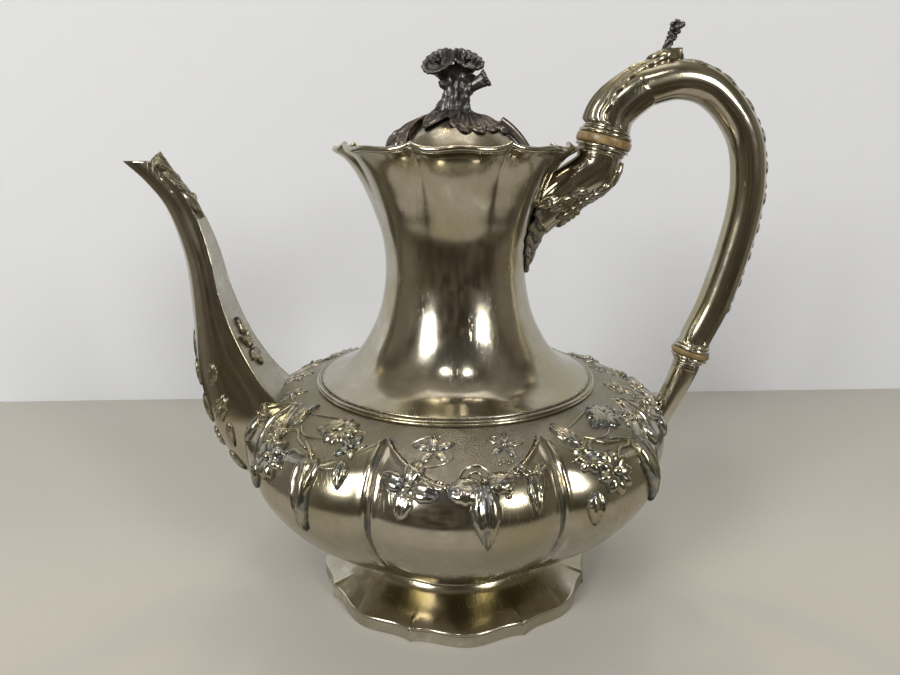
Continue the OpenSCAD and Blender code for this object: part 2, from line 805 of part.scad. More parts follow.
// ---- finial ----
module finial_stud() {
    color(dark_silver) turned_lid()
        translate([0, 0, top_z - 8])
            cylinder(r = stud_r, h = 16, $fn = 24);
}
module finial_nut() {
    color(silver) turned_lid()
        translate([0, 0, top_z - lid_sheet - 3.2])
            difference() {
                cylinder(r = 4, h = 2.6, $fn = 6);
                translate([0, 0, -1])
                    cylinder(r = stud_r + fit_gap, h = 5, $fn = 24);
            }
}
stalk_tilt = 18;
stalk_h = 14.5;
// Local frame of one of the two flower stalks: side is -1 or 1
module at_stalk(side) {
    translate([side * 1.4 - 1.2, 0, top_z + 3]) rotate([0, side * stalk_tilt, 0]) children();
}
module finial_stem() {
    color(dark_silver) turned_lid()
        difference() {
            union() {
                translate([0, 0, top_z - 2])
                    cylinder(r1 = 8, r2 = 4.2, h = 8, $fn = 32);
                for (side = [-1, 1])
                    at_stalk(side)
                        cylinder(r1 = 3.4, r2 = 2.4, h = stalk_h, $fn = 24);
            }
            translate([0, 0, dome_mid_z])
                sphere(r = dome_r + solder_gap, $fn = 96);
            cylinder(r = stud_r + fit_gap, h = top_z + 8, $fn = 24);
        }
}
module flower(height, mouth) {
    neck_w = 2.2;
    rotate_extrude($fn = 32)
        polygon([
            [0, 0], [neck_w, 0], [1.27 * neck_w, 0.5 * height], [mouth, height],
            [mouth - 1, height + 0.8], [0, 0.7 * height]
        ]);
}
module finial_flowers() {
    color(dark_silver) turned_lid()
        for (side = [-1, 1])
            at_stalk(side)
                translate([0, 0, stalk_h + solder_gap])
                    flower(height = 8, mouth = 6.2);
}
module finial_bud() {
    color(dark_silver) turned_lid()
        translate([3.6, 0, top_z + 8])
            rotate([0, 52, 0]) {
                translate([0, 0, 3.2])
                    cylinder(r = 1.1, h = 5, $fn = 16);
                translate([0, 0, 9])
                    sphere(r = 2.3, $fn = 24);
            }
}
leaf_turns = [-165, -108, -42, 24, 95];
leaf_outs = [29, 24, 25, 29, 27];
module dome_leaf(turn, out, half) {
    rows = 8;
    inner = 8.4;
    low = 0.35;             // height of its underside above the dome
    edge = 1.2;             // height of its edges
    rib = 0.9;              // how much higher its middle is
    rotate([0, 0, turn])
        loft([
            for (i = [0:rows])
                let (x = i / rows, r = mix(inner, out, x), w = half * mix(0.2, 1, sin(180 * pow(x, 0.75))))
                concat(
                    [
                        for (v = [1, 0.5, 0, -0.5, -1])
                            [r, v * w, dome_z(norm([r, v * w])) + low]
                    ],
                    [
                        for (v = [-1, -0.5, 0, 0.5, 1])
                            [r, v * w, dome_z(norm([r, v * w])) + edge + rib * (1 - v * v)]
                    ]
                )
        ]);
}
module finial_leaves() {
    color(dark_silver) turned_lid()
        for (i = [0:len(leaf_turns) - 1])
            dome_leaf(leaf_turns[i], leaf_outs[i], 7);
}
module finial_tendril() {
    color(dark_silver) turned_lid()
        rotate([0, 0, -8]) {
            rows = 6;
            sides = 8;
            tendril_r = 0.9;
            loft([
                for (i = [0:rows])
                    let (d = mix(9, 28, i / rows), z = dome_z(d) + tendril_r + 0.45)
                    [
                        for (k = [0:sides - 1])
                            let (b = 360 * k / sides)
                            [d + 0.3 * cos(b), tendril_r * sin(b), z + tendril_r * cos(b)]
                    ]
            ]);
        }
}

bowl();
neck();
rim_wire();
shoulder_ring();
lid_seat();
foot_collar();
foot();
foot_apron();
spout();
spout_tip_leaf();
spout_back_sprig();
spout_rosettes();
upper_socket();
upper_socket_foliage();
upper_socket_collar();
upper_insulator();
upper_handle_collar();
handle_tube();
thumb_leaf();
thumb_sprig();
handle_vine();
lower_handle_collar();
lower_insulator();
lower_socket_collar();
lower_socket();
handle_pins();
hinge_bracket();
hinge_pin();
lid_flange();
lid_dome();
lid_hinge_leaf();
finial_stud();
finial_nut();
finial_stem();
finial_flowers();
finial_bud();
finial_leaves();
finial_tendril();
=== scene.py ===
# %% [markdown]
# # A silver coffee pot
#
# The real pot is raised, cast and chased from silvered metal: a lobed bowl with a garland
# round its shoulder, a flared neck, a spreading foot, a spout with a flat back, a hollow
# handle and a lid with a flower on top. The CAD frame says where each of these sits and how
# the lid turns. This lesson builds the surfaces that one sees, round that frame.
#
# The frame is loaded first, and its box is kept, because the finished pot has to fit in it.

# %% Load the frame
import math

import bmesh
import bpy
import numpy as np
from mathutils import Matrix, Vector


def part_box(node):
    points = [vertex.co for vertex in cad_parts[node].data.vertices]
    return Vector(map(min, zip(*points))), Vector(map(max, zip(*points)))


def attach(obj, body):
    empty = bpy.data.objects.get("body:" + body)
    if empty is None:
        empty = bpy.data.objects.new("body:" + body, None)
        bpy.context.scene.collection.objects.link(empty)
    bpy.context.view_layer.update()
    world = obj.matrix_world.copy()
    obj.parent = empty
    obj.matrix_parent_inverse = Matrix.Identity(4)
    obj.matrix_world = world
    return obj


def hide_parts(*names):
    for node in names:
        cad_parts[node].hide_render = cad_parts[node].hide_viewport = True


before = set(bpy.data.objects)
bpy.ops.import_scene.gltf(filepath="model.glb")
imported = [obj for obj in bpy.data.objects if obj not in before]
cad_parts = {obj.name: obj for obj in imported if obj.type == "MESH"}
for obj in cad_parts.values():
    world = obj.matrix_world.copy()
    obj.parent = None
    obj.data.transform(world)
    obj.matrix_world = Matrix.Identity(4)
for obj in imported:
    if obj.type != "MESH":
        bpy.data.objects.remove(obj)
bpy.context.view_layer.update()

# %% [markdown]
# ## Sizes
#
# A silversmith thinks in millimetres, so all the shaping below is in millimetres, and only
# the last step turns it into metres. The driving sizes are read off the frame: the bowl's
# radius is how far its box reaches towards the handle, and so on.

# %% Driving sizes from the frame
def box_mm(node):
    low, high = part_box(node)
    return np.array(low) * 1000, np.array(high) * 1000


LOBES = 8
LOBE = 360 / LOBES
bowl_low, bowl_high = box_mm("bowl")
BOWL_R = bowl_high[0]
BOWL_BASE_Z = bowl_low[2]
BOWL_TOP_Z = bowl_high[2]
BOWL_BASE_R = 44.0
BOWL_MID_Z = 69.0
CREASE_DEPTH = 4.6
ring_low, ring_high = box_mm("shoulder_ring")
RING_Z = (ring_low[2] + ring_high[2]) / 2
RING_R = ring_high[0] - 1.2
NECK_BASE_Z = box_mm("neck")[0][2]
RIM_R = box_mm("rim_wire")[1][0] - 0.95
WAIST_RISE = 51.0
WAIST_Z = RING_Z + WAIST_RISE
WAIST_R = 31.0
RIM_Z = 199.0
RIM_PINCH = 2.4
RIM_LIFT = 1.5
SHEET = 1.2              # thickness of the raised sheet
MM = 0.001
WELD = 2e-6              # points of a piece closer than this, in metres, are joined
print("bowl radius", round(BOWL_R, 1), "rim radius", round(RIM_R, 1), "rim height", RIM_Z)

# %% [markdown]
# ## Curves and small measures
#
# Profiles are drawn with few points and a smooth curve through them. The Catmull-Rom curve
# passes through every point, which makes it easy to place a waist or a shoulder exactly.


# %% Curve helpers
def smooth_curve(points, steps):
    """A Catmull-Rom curve through the points, with a number of steps between two of them."""
    p = np.array(points, float)
    p = np.vstack([2 * p[0] - p[1], p, 2 * p[-1] - p[-2]])
    rows = []
    for i in range(1, len(p) - 2):
        a, b, c, d = p[i - 1 : i + 3]
        for u in np.arange(steps) / steps:
            rows.append(b + 0.5 * u * (c - a + u * (2 * a - 5 * b + 4 * c - d + u * (3 * b - 3 * c + d - a))))
    rows.append(p[-2])
    return np.array(rows)


def ease(x):
    x = np.clip(x, 0, 1)
    return x * x * (3 - 2 * x)


def bell(x, width):
    return np.exp(-((x / width) ** 2))


def unit(v):
    return v / np.maximum(np.linalg.norm(v, axis=-1, keepdims=True), 1e-9)


def across(degrees):
    """Where an angle lies across its lobe: 0 in the middle, 1 at a crease."""
    m = np.mod(degrees + LOBE / 2, LOBE)
    return np.abs(2 * m / LOBE - 1)


def down(low, high, count):
    """Even steps down the rows of a grid."""
    return np.linspace(low, high, count)[:, None]


def over(low, high, count):
    """Even steps over the columns of a grid."""
    return np.linspace(low, high, count)[None, :]


def circle(count):
    """Even angles once round."""
    return np.linspace(0, 2 * np.pi, count, endpoint=False)


def polar(r, t, z):
    """Points from a radius, an angle in radians and a height."""
    return np.stack([r * np.cos(t), r * np.sin(t), z], -1)


def turned(x, y, degrees):
    """A flat drawing turned by some degrees: how far along and how far across it then lies."""
    a = math.radians(degrees)
    return x * math.cos(a) - y * math.sin(a), x * math.sin(a) + y * math.cos(a)


def between(a, b, share):
    return a + (b - a) * share


def arc_lengths(line):
    return np.concatenate([[0], np.cumsum(np.linalg.norm(np.diff(line, axis=0), axis=1))])


# %% [markdown]
# ## From grids to meshes
#
# Almost every surface here is a grid of points: round a profile, along a tube, or across a
# leaf. A Shape collects such grids and makes one mesh of them. Two numbers travel with each
# point: `hollow` says how deep it lies in the relief, and the finish darkens there, and
# `matt` says where the ground is stippled instead of polished.


# %% The Shape collector
class Shape:
    def __init__(self):
        self.points, self.quads, self.hollow, self.matt = [], [], [], []
        self.count = 0

    def add(self, grid, hollow=0.0, matt=0.0, wrap_rows=False, wrap_cols=False):
        rows, cols = grid.shape[:2]
        i = np.arange(rows if wrap_rows else rows - 1)[:, None]
        j = np.arange(cols if wrap_cols else cols - 1)[None, :]
        k, l = (i + 1) % rows, (j + 1) % cols
        quads = np.stack([i * cols + j, i * cols + l, k * cols + l, k * cols + j], -1).reshape(-1, 4)
        self.points.append(grid.reshape(-1, 3))
        self.quads.append(quads + self.count)
        self.hollow.append(np.broadcast_to(hollow, (rows, cols)).ravel())
        self.matt.append(np.broadcast_to(matt, (rows, cols)).ravel())
        self.count += rows * cols

    def skin(self, grid, hollow=0.0, matt=0.0):
        """A grid that closes on itself both ways."""
        self.add(grid, hollow, matt, wrap_rows=True, wrap_cols=True)

    def tube(self, rings, hollow=0.0, matt=0.0):
        """A closed skin over rings, with both ends drawn together to their middle."""
        ends = rings.mean(axis=1, keepdims=True)
        first = np.repeat(ends[:1], rings.shape[1], axis=1)
        last = np.repeat(ends[-1:], rings.shape[1], axis=1)
        h = np.broadcast_to(hollow, rings.shape[:2])
        m = np.broadcast_to(matt, rings.shape[:2])
        self.add(
            np.concatenate([first, rings, last]),
            np.concatenate([h[:1], h, h[-1:]]),
            np.concatenate([m[:1], m, m[-1:]]),
            wrap_cols=True,
        )

    def pad(self, top, bottom, hollow=0.0, matt=0.0):
        """A leaf or a boss: a top and a bottom that meet along the edge."""
        h = np.broadcast_to(hollow, top.shape[:2])
        m = np.broadcast_to(matt, top.shape[:2])
        self.add(
            np.concatenate([top, bottom[::-1]]),
            np.concatenate([h, h[::-1]]),
            np.concatenate([m, m[::-1]]),
            wrap_rows=True,
        )


def make_piece(name, shape, finish, body, stands_for=()):
    """Makes the mesh, welds its seams, gives it its finish and ties it to its body."""
    points = np.concatenate(shape.points) * MM
    quads = np.concatenate(shape.quads)
    mesh = bpy.data.meshes.new(name)
    mesh.vertices.add(len(points))
    mesh.vertices.foreach_set("co", points.astype(np.float32).ravel())
    mesh.loops.add(4 * len(quads))
    mesh.loops.foreach_set("vertex_index", quads.astype(np.int32).ravel())
    mesh.polygons.add(len(quads))
    mesh.polygons.foreach_set("loop_start", np.arange(0, 4 * len(quads), 4, dtype=np.int32))
    for key, values in (("hollow", shape.hollow), ("matt", shape.matt)):
        layer = mesh.attributes.new(key, "FLOAT", "POINT")
        layer.data.foreach_set("value", np.concatenate(values).astype(np.float32))
    mesh.update(calc_edges=True)
    work = bmesh.new()
    work.from_mesh(mesh)
    bmesh.ops.remove_doubles(work, verts=work.verts, dist=WELD)
    bmesh.ops.dissolve_degenerate(work, edges=work.edges, dist=1e-7)
    bmesh.ops.recalc_face_normals(work, faces=work.faces)
    work.to_mesh(mesh)
    work.free()
    mesh.polygons.foreach_set("use_smooth", [True] * len(mesh.polygons))
    mesh.materials.append(finish)
    piece = bpy.data.objects.new(name, mesh)
    bpy.context.scene.collection.objects.link(piece)
    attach(piece, body)
    if stands_for:
        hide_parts(*stands_for)
    print(f"{name}: {len(mesh.polygons)} faces")
    return piece


def lathe(outline, steps=256):
    """Turns an outline of (radius, height) points into a closed ring of grid points."""
    t = np.radians(np.arange(steps) * 360 / steps)
    r, z = outline[:, 0][:, None], outline[:, 1][:, None]
    return polar(r, t, z + 0 * t)

# %% [markdown]
# ## The finishes
#
# Old silver is never one colour. Three things happen on it, and each is a node group here,
# so that every material can use the same effect with its own strength:
#
# - a thin brown film of tarnish, in clouds, with a violet edge where it is thinnest,
# - dark dirt that polishing leaves behind in hollows,
# - hairlines from years of rubbing, with a few small pits.
#
# The Principled shader itself stays in each material.


# %% Node helpers
def add_node(tree, kind, **values):
    node = tree.nodes.new(kind)
    for key, value in values.items():
        setattr(node, key, value)
    return node


def feed(tree, target, value):
    if isinstance(value, bpy.types.NodeSocket):
        tree.links.new(value, target)
    else:
        target.default_value = value


def math_node(tree, operation, a, b=0.0, clamp=False):
    node = add_node(tree, "ShaderNodeMath", operation=operation, use_clamp=clamp)
    feed(tree, node.inputs[0], a)
    feed(tree, node.inputs[1], b)
    return node.outputs[0]


def plus(tree, a, b, clamp=False):
    return math_node(tree, "ADD", a, b, clamp)


def minus(tree, a, b):
    return math_node(tree, "SUBTRACT", a, b)


def times(tree, a, b, clamp=False):
    return math_node(tree, "MULTIPLY", a, b, clamp)


def new_material(name):
    """A material, its node tree and its Principled shader."""
    material = bpy.data.materials.new(name)
    material.use_nodes = True
    return material, material.node_tree, material.node_tree.nodes["Principled BSDF"]


def mix_colour(tree, factor, a, b, blend="MIX"):
    node = add_node(tree, "ShaderNodeMix", data_type="RGBA", blend_type=blend)
    feed(tree, node.inputs[0], factor)
    feed(tree, node.inputs[6], a)
    feed(tree, node.inputs[7], b)
    return node.outputs[2]


def noise(tree, where, scale, detail=4.0, rough=0.55, warp=0.0):
    node = add_node(tree, "ShaderNodeTexNoise")
    feed(tree, node.inputs["Vector"], where)
    feed(tree, node.inputs["Scale"], scale)
    node.inputs["Detail"].default_value = detail
    node.inputs["Roughness"].default_value = rough
    node.inputs["Distortion"].default_value = warp
    return node.outputs["Fac"]


def step_between(tree, value, low, high):
    node = add_node(tree, "ShaderNodeMapRange", interpolation_type="SMOOTHSTEP")
    feed(tree, node.inputs["Value"], value)
    feed(tree, node.inputs["From Min"], low)
    feed(tree, node.inputs["From Max"], high)
    return node.outputs["Result"]


def new_group(name, inputs, outputs):
    """A shader node group; inputs and outputs are lists of (name, kind, default)."""
    group = bpy.data.node_groups.new(name, "ShaderNodeTree")
    for direction, sockets in (("INPUT", inputs), ("OUTPUT", outputs)):
        for label, kind, default in sockets:
            socket = group.interface.new_socket(label, in_out=direction, socket_type="NodeSocket" + kind)
            if default is not None:
                socket.default_value = default
    return group, group.nodes.new("NodeGroupInput"), group.nodes.new("NodeGroupOutput")


def place_group(tree, group, **values):
    node = add_node(tree, "ShaderNodeGroup")
    node.node_tree = group
    for key, value in values.items():
        feed(tree, node.inputs[key.replace("_", " ")], value)
    return node


# %% [markdown]
# The tarnish film. Large soft clouds decide where it lies, and finer ones break up its edge.
# Tarnish starts yellow, goes brown and then violet, so a second colour sits on the edge of
# each cloud.

# %% Node group: tarnish film
def build_tarnish():
    group, given, result = new_group(
        "tarnish film",
        [
            ("Scale", "Float", 30.0),
            ("Amount", "Float", 0.5),
            ("Clean", "Color", (0.8, 0.75, 0.66, 1)),
            ("Brown", "Color", (0.45, 0.36, 0.24, 1)),
            ("Violet", "Color", (0.42, 0.36, 0.42, 1)),
        ],
        [("Colour", "Color", None), ("Film", "Float", None)],
    )
    where = add_node(group, "ShaderNodeTexCoord").outputs["Object"]
    clouds = noise(group, where, given.outputs["Scale"], 5.0, 0.6, 0.6)
    fine = noise(group, where, times(group, given.outputs["Scale"], 9.0), 3.0, 0.6)
    both = plus(group, clouds, times(group, fine, 0.22))
    edge = minus(group, 1.02, times(group, given.outputs["Amount"], 0.75))
    film = step_between(group, both, minus(group, edge, 0.2), plus(group, edge, 0.12))
    colour = mix_colour(group, film, given.outputs["Clean"], given.outputs["Brown"])
    rim = times(group, film, minus(group, 1.0, film))
    rim = times(group, rim, 2.2, clamp=True)
    colour = mix_colour(group, rim, colour, given.outputs["Violet"])
    group.links.new(colour, result.inputs["Colour"])
    group.links.new(film, result.inputs["Film"])
    return group


TARNISH = build_tarnish()
print("group:", TARNISH.name)

# %% [markdown]
# Dirt in the hollows. The meshes carry `hollow` on every point, so the dirt sits where the
# relief is really deep. A little noise keeps its edge from looking airbrushed.


# %% Node group: dirt in hollows
def build_dirt():
    group, given, result = new_group(
        "dirt in hollows",
        [("Amount", "Float", 1.0), ("Scale", "Float", 500.0)],
        [("Dirt", "Float", None), ("Bright", "Float", None)],
    )
    where = add_node(group, "ShaderNodeTexCoord").outputs["Object"]
    depth = add_node(group, "ShaderNodeAttribute", attribute_name="hollow").outputs["Fac"]
    ragged = noise(group, where, given.outputs["Scale"], 4.0, 0.65)
    level = plus(group, depth, times(group, minus(group, ragged, 0.5), 0.7))
    dirt = times(group, step_between(group, level, 0.35, 0.95), given.outputs["Amount"], clamp=True)
    group.links.new(dirt, result.inputs["Dirt"])
    group.links.new(step_between(group, level, 0.3, -0.1), result.inputs["Bright"])
    return group


DIRT = build_dirt()
print("group:", DIRT.name)

# %% [markdown]
# Wear. Two stretched noises at different angles stand for hairlines, and a cell texture with
# a low threshold makes scattered pits. Both come out as one height for a Bump node, and as a
# mask that roughens the gloss a little.


# %% Node group: hairlines and pits
def build_wear():
    group, given, result = new_group(
        "hairlines and pits",
        [("Lines", "Float", 1.0), ("Pits", "Float", 0.5), ("Stipple", "Float", 0.0)],
        [("Height", "Float", None), ("Mask", "Float", None), ("Spots", "Float", None)],
    )
    where = add_node(group, "ShaderNodeTexCoord").outputs["Object"]
    lines = None
    for turn, stretch in (((0.3, 0.9, 0.2), (2600, 90, 260)), ((1.1, 0.2, 0.8), (2100, 300, 70))):
        place = add_node(group, "ShaderNodeMapping")
        group.links.new(where, place.inputs["Vector"])
        place.inputs["Rotation"].default_value = turn
        place.inputs["Scale"].default_value = stretch
        fibre = step_between(group, noise(group, place.outputs[0], 1.0, 2.0, 0.5, 0.3), 0.60, 0.74)
        lines = fibre if lines is None else math_node(group, "MAXIMUM", lines, fibre)
    patches = step_between(group, noise(group, where, 38.0, 3.0), 0.42, 0.66)
    lines = times(group, times(group, lines, patches), given.outputs["Lines"])
    cells = add_node(group, "ShaderNodeTexVoronoi", feature="F1")
    group.links.new(where, cells.inputs["Vector"])
    cells.inputs["Scale"].default_value = 420.0
    near = step_between(group, cells.outputs["Distance"], 0.22, 0.08)
    some = step_between(group, noise(group, where, 55.0, 3.0, 0.7), 0.60, 0.72)
    pits = times(group, times(group, near, some), given.outputs["Pits"])
    punch = add_node(group, "ShaderNodeTexVoronoi", feature="F1")
    group.links.new(where, punch.inputs["Vector"])
    punch.inputs["Scale"].default_value = 1300.0
    ground = add_node(group, "ShaderNodeAttribute", attribute_name="matt").outputs["Fac"]
    dots = times(group, punch.outputs["Distance"], times(group, ground, given.outputs["Stipple"]))
    dots = times(group, dots, 2.2)
    height = minus(group, dots, times(group, lines, 0.12))
    height = minus(group, height, times(group, pits, 0.5))
    group.links.new(height, result.inputs["Height"])
    group.links.new(lines, result.inputs["Mask"])
    group.links.new(pits, result.inputs["Spots"])
    return group


WEAR = build_wear()
print("group:", WEAR.name)

# %% [markdown]
# ## Silver
#
# One function makes every silver finish. The body of the pot is polished, the cast pieces
# are rougher, and the finial is almost black. Metal stays metal under tarnish, so only the
# dirt lowers Metallic.


# %% Silver finishes
def silver_finish(name, clean, brown, film=0.5, film_scale=30.0, gloss=0.12, dirt=1.0, lines=1.0,
                  pits=0.5, stipple=0.0, soil=(0.035, 0.03, 0.025), waves=0.25, chalk=0.0, blue=0.0):
    material, tree, shader = new_material(name)
    violet = (brown[0] * 1.0, brown[1] * 0.98, brown[2] * 1.25, 1)
    tarnish = place_group(tree, TARNISH, Scale=film_scale, Amount=film, Clean=(*clean, 1), Brown=(*brown, 1),
                          Violet=violet)
    grime = place_group(tree, DIRT, Amount=dirt)
    wear = place_group(tree, WEAR, Lines=lines, Pits=pits, Stipple=stipple)
    where = add_node(tree, "ShaderNodeTexCoord").outputs["Object"]
    colour = tarnish.outputs["Colour"]
    if blue:                                     # thin blue film round the deeper relief
        near = step_between(tree, grime.outputs["Bright"], 0.6, 0.0)
        cloud = step_between(tree, noise(tree, where, 90.0, 3.0, 0.6, 0.8), 0.44, 0.60)
        near = times(tree, times(tree, near, cloud), blue)
        colour = mix_colour(tree, near, colour, (0.12, 0.16, 0.21, 1))
    colour = mix_colour(tree, grime.outputs["Dirt"], colour, (*soil, 1))
    colour = mix_colour(tree, times(tree, wear.outputs["Spots"], 0.8), colour, (0.05, 0.04, 0.03, 1))
    metal = minus(tree, 1.0, times(tree, grime.outputs["Dirt"], 0.75))
    if chalk:
        dust = step_between(tree, noise(tree, where, 260.0, 5.0, 0.7), 0.56, 0.68)
        dust = times(tree, dust, chalk)
        colour = mix_colour(tree, dust, colour, (0.34, 0.37, 0.40, 1))
        metal = times(tree, metal, minus(tree, 1.0, dust))
    ground = add_node(tree, "ShaderNodeAttribute", attribute_name="matt").outputs["Fac"]
    rough = plus(tree, gloss, times(tree, tarnish.outputs["Film"], 0.09))
    rough = plus(tree, rough, times(tree, noise(tree, where, 120.0, 5.0), 0.07))
    rough = plus(tree, rough, times(tree, wear.outputs["Mask"], 0.15))
    rough = plus(tree, rough, times(tree, ground, 0.22))
    rough = plus(tree, rough, times(tree, grime.outputs["Dirt"], 0.5), clamp=True)
    colour = mix_colour(tree, times(tree, ground, 0.3), colour, (*soil, 1))
    tree.links.new(colour, shader.inputs["Base Color"])
    tree.links.new(metal, shader.inputs["Metallic"])
    tree.links.new(rough, shader.inputs["Roughness"])
    fine = add_node(tree, "ShaderNodeBump")
    fine.inputs["Distance"].default_value = 0.0002
    fine.inputs["Strength"].default_value = 0.5
    tree.links.new(wear.outputs["Height"], fine.inputs["Height"])
    dents = add_node(tree, "ShaderNodeBump")
    dents.inputs["Distance"].default_value = 0.001
    dents.inputs["Strength"].default_value = waves
    tree.links.new(noise(tree, where, 42.0, 2.0), dents.inputs["Height"])
    tree.links.new(fine.outputs["Normal"], dents.inputs["Normal"])
    tree.links.new(dents.outputs["Normal"], shader.inputs["Normal"])
    return material


POLISHED = silver_finish("polished_silver", (0.70, 0.68, 0.555), (0.40, 0.365, 0.25), film=0.56,
    film_scale=22.0,
                         gloss=0.07)
CHASED = silver_finish("chased_silver", (0.69, 0.665, 0.55), (0.36, 0.33, 0.23), film=0.6, film_scale=26.0,
                       gloss=0.09, stipple=1.0, dirt=1.0, blue=0.55)
CAST = silver_finish("cast_silver", (0.62, 0.59, 0.47), (0.30, 0.27, 0.18), film=0.62, film_scale=60.0,
                     gloss=0.15, dirt=1.0, waves=0.3)
SOOTED = silver_finish("sooted_silver", (0.36, 0.33, 0.29), (0.14, 0.118, 0.10), film=0.7, film_scale=140.0,
                       gloss=0.2, dirt=1.0, soil=(0.02, 0.018, 0.016), waves=0.5, chalk=0.3)
BLACKENED = silver_finish("oxidised_silver", (0.36, 0.35, 0.33), (0.12, 0.115, 0.11), film=0.8,
    film_scale=160.0,
                          gloss=0.26, dirt=1.0, soil=(0.02, 0.02, 0.02), waves=0.6, chalk=0.75)
print("silver finishes:", POLISHED.name, CHASED.name, CAST.name, SOOTED.name, BLACKENED.name)

# %% [markdown]
# ## Bone
#
# The two insulators are rings of bone or ivory-like bone, gone yellow. Bone has fine grain
# along its length, a soft glow and a smooth polish, with darker dirt at its edges.


# %% Bone finish
def bone_finish():
    material, tree, shader = new_material("old_bone")
    grime = place_group(tree, DIRT, Amount=0.8)
    where = add_node(tree, "ShaderNodeTexCoord").outputs["Object"]
    place = add_node(tree, "ShaderNodeMapping")
    tree.links.new(where, place.inputs["Vector"])
    place.inputs["Scale"].default_value = (900, 900, 120)
    grain = noise(tree, place.outputs[0], 1.0, 4.0)
    clouds = noise(tree, where, 160.0, 3.0)
    colour = mix_colour(tree, step_between(tree, clouds, 0.35, 0.7), (0.15, 0.10, 0.035, 1),
        (0.29, 0.215, 0.095, 1))
    colour = mix_colour(tree, step_between(tree, grain, 0.5, 0.75), colour, (0.11, 0.07, 0.025, 1))
    colour = mix_colour(tree, grime.outputs["Dirt"], colour, (0.06, 0.045, 0.02, 1))
    tree.links.new(colour, shader.inputs["Base Color"])
    tree.links.new(plus(tree, 0.22, times(tree, clouds, 0.25)), shader.inputs["Roughness"])
    shader.inputs["Subsurface Weight"].default_value = 0.15
    shader.inputs["Subsurface Scale"].default_value = 0.002
    bump = add_node(tree, "ShaderNodeBump")
    bump.inputs["Distance"].default_value = 0.0002
    bump.inputs["Strength"].default_value = 0.4
    tree.links.new(grain, bump.inputs["Height"])
    tree.links.new(bump.outputs["Normal"], shader.inputs["Normal"])
    return material


BONE = bone_finish()
print("bone finish:", BONE.name)

# %% [markdown]
# ## The bowl
#
# The bowl is raised from one sheet. Below the garland it has eight full lobes with a sharp
# crease between two of them. Above the garland the shoulder is plain and stippled. Between
# them a festoon hangs from crease to crease, and the sheet steps down behind it.
#
# A height added to a turned profile would do for the lobes, but the leaves have to sit on
# the same surface. So the surface is one function, `on_bowl`, of an angle, of the distance
# along the profile and of the height above it. The bowl and every leaf use it.

# %% The bowl's surface
LOW_SHAPE = [[0, 0], [0.12, 0.03], [0.28, 0.13], [0.44, 0.25], [0.6, 0.39], [0.76, 0.55], [0.9, 0.74],
    [0.98, 0.9]]
TOP_SHAPE = [[1, 0], [0.99, 0.25], [0.9, 0.5], [0.72, 0.7], [0.38, 0.88], [0, 1]]


bowl_line = smooth_curve(
    [[between(BOWL_BASE_R, BOWL_R, x), between(BOWL_BASE_Z, BOWL_MID_Z, y)] for x, y in LOW_SHAPE]
    + [[between(RING_R, BOWL_R, x), between(BOWL_MID_Z, BOWL_TOP_Z, y)] for x, y in TOP_SHAPE],
    24,
)
bowl_s = arc_lengths(bowl_line)
BOWL_LENGTH = bowl_s[-1]
bowl_out = unit(np.gradient(bowl_line, axis=0))[:, ::-1] * [1, -1]


def crease_at(z):
    return CREASE_DEPTH * ease((z - BOWL_BASE_Z - 1) / 10) * ease((BOWL_TOP_Z - 3 - z) / 12)


def on_bowl(degrees, s, height):
    """A point of the bowl: angle round the axis, distance along the profile, height above it."""
    r = np.interp(s, bowl_s, bowl_line[:, 0])
    z = np.interp(s, bowl_s, bowl_line[:, 1])
    nr = np.interp(s, bowl_s, bowl_out[:, 0])
    nz = np.interp(s, bowl_s, bowl_out[:, 1])
    r = r - crease_at(z) * across(degrees) ** 2.6 + nr * height
    t = np.radians(degrees)
    return polar(r, t, z + nz * height)


SWAG_LOW = 92.0          # distance along the profile to the festoon's lowest point
SWAG_TOP = 113.0         # and to the points where it hangs from
GARLAND_RISE = 0.9       # how far the lobes stand out below the festoon


def swag_at(degrees):
    return SWAG_LOW + (SWAG_TOP - SWAG_LOW) * across(degrees) ** 1.9


def relief(degrees, s):
    """How far the sheet is pushed out: more below the festoon, with a soft edge along it."""
    gap = swag_at(degrees) - s
    return GARLAND_RISE * ease(gap / 2.6 + 0.5) + 0.55 * bell(gap - 1.2, 1.3) * ease((s - 70) / 10)


print("the profile is", round(BOWL_LENGTH, 1), "mm long")

# %% [markdown]
# The grid is not even. It is fine across each crease and along the festoon, where the shape
# turns quickly, and coarse where the sheet is smooth.


# %% Bowl mesh
def spread(count, pull):
    """Even steps from -1 to 1, drawn towards both ends by pull."""
    x = np.linspace(-1, 1, count, endpoint=False)
    return x + pull * np.sin(np.pi * x) / np.pi


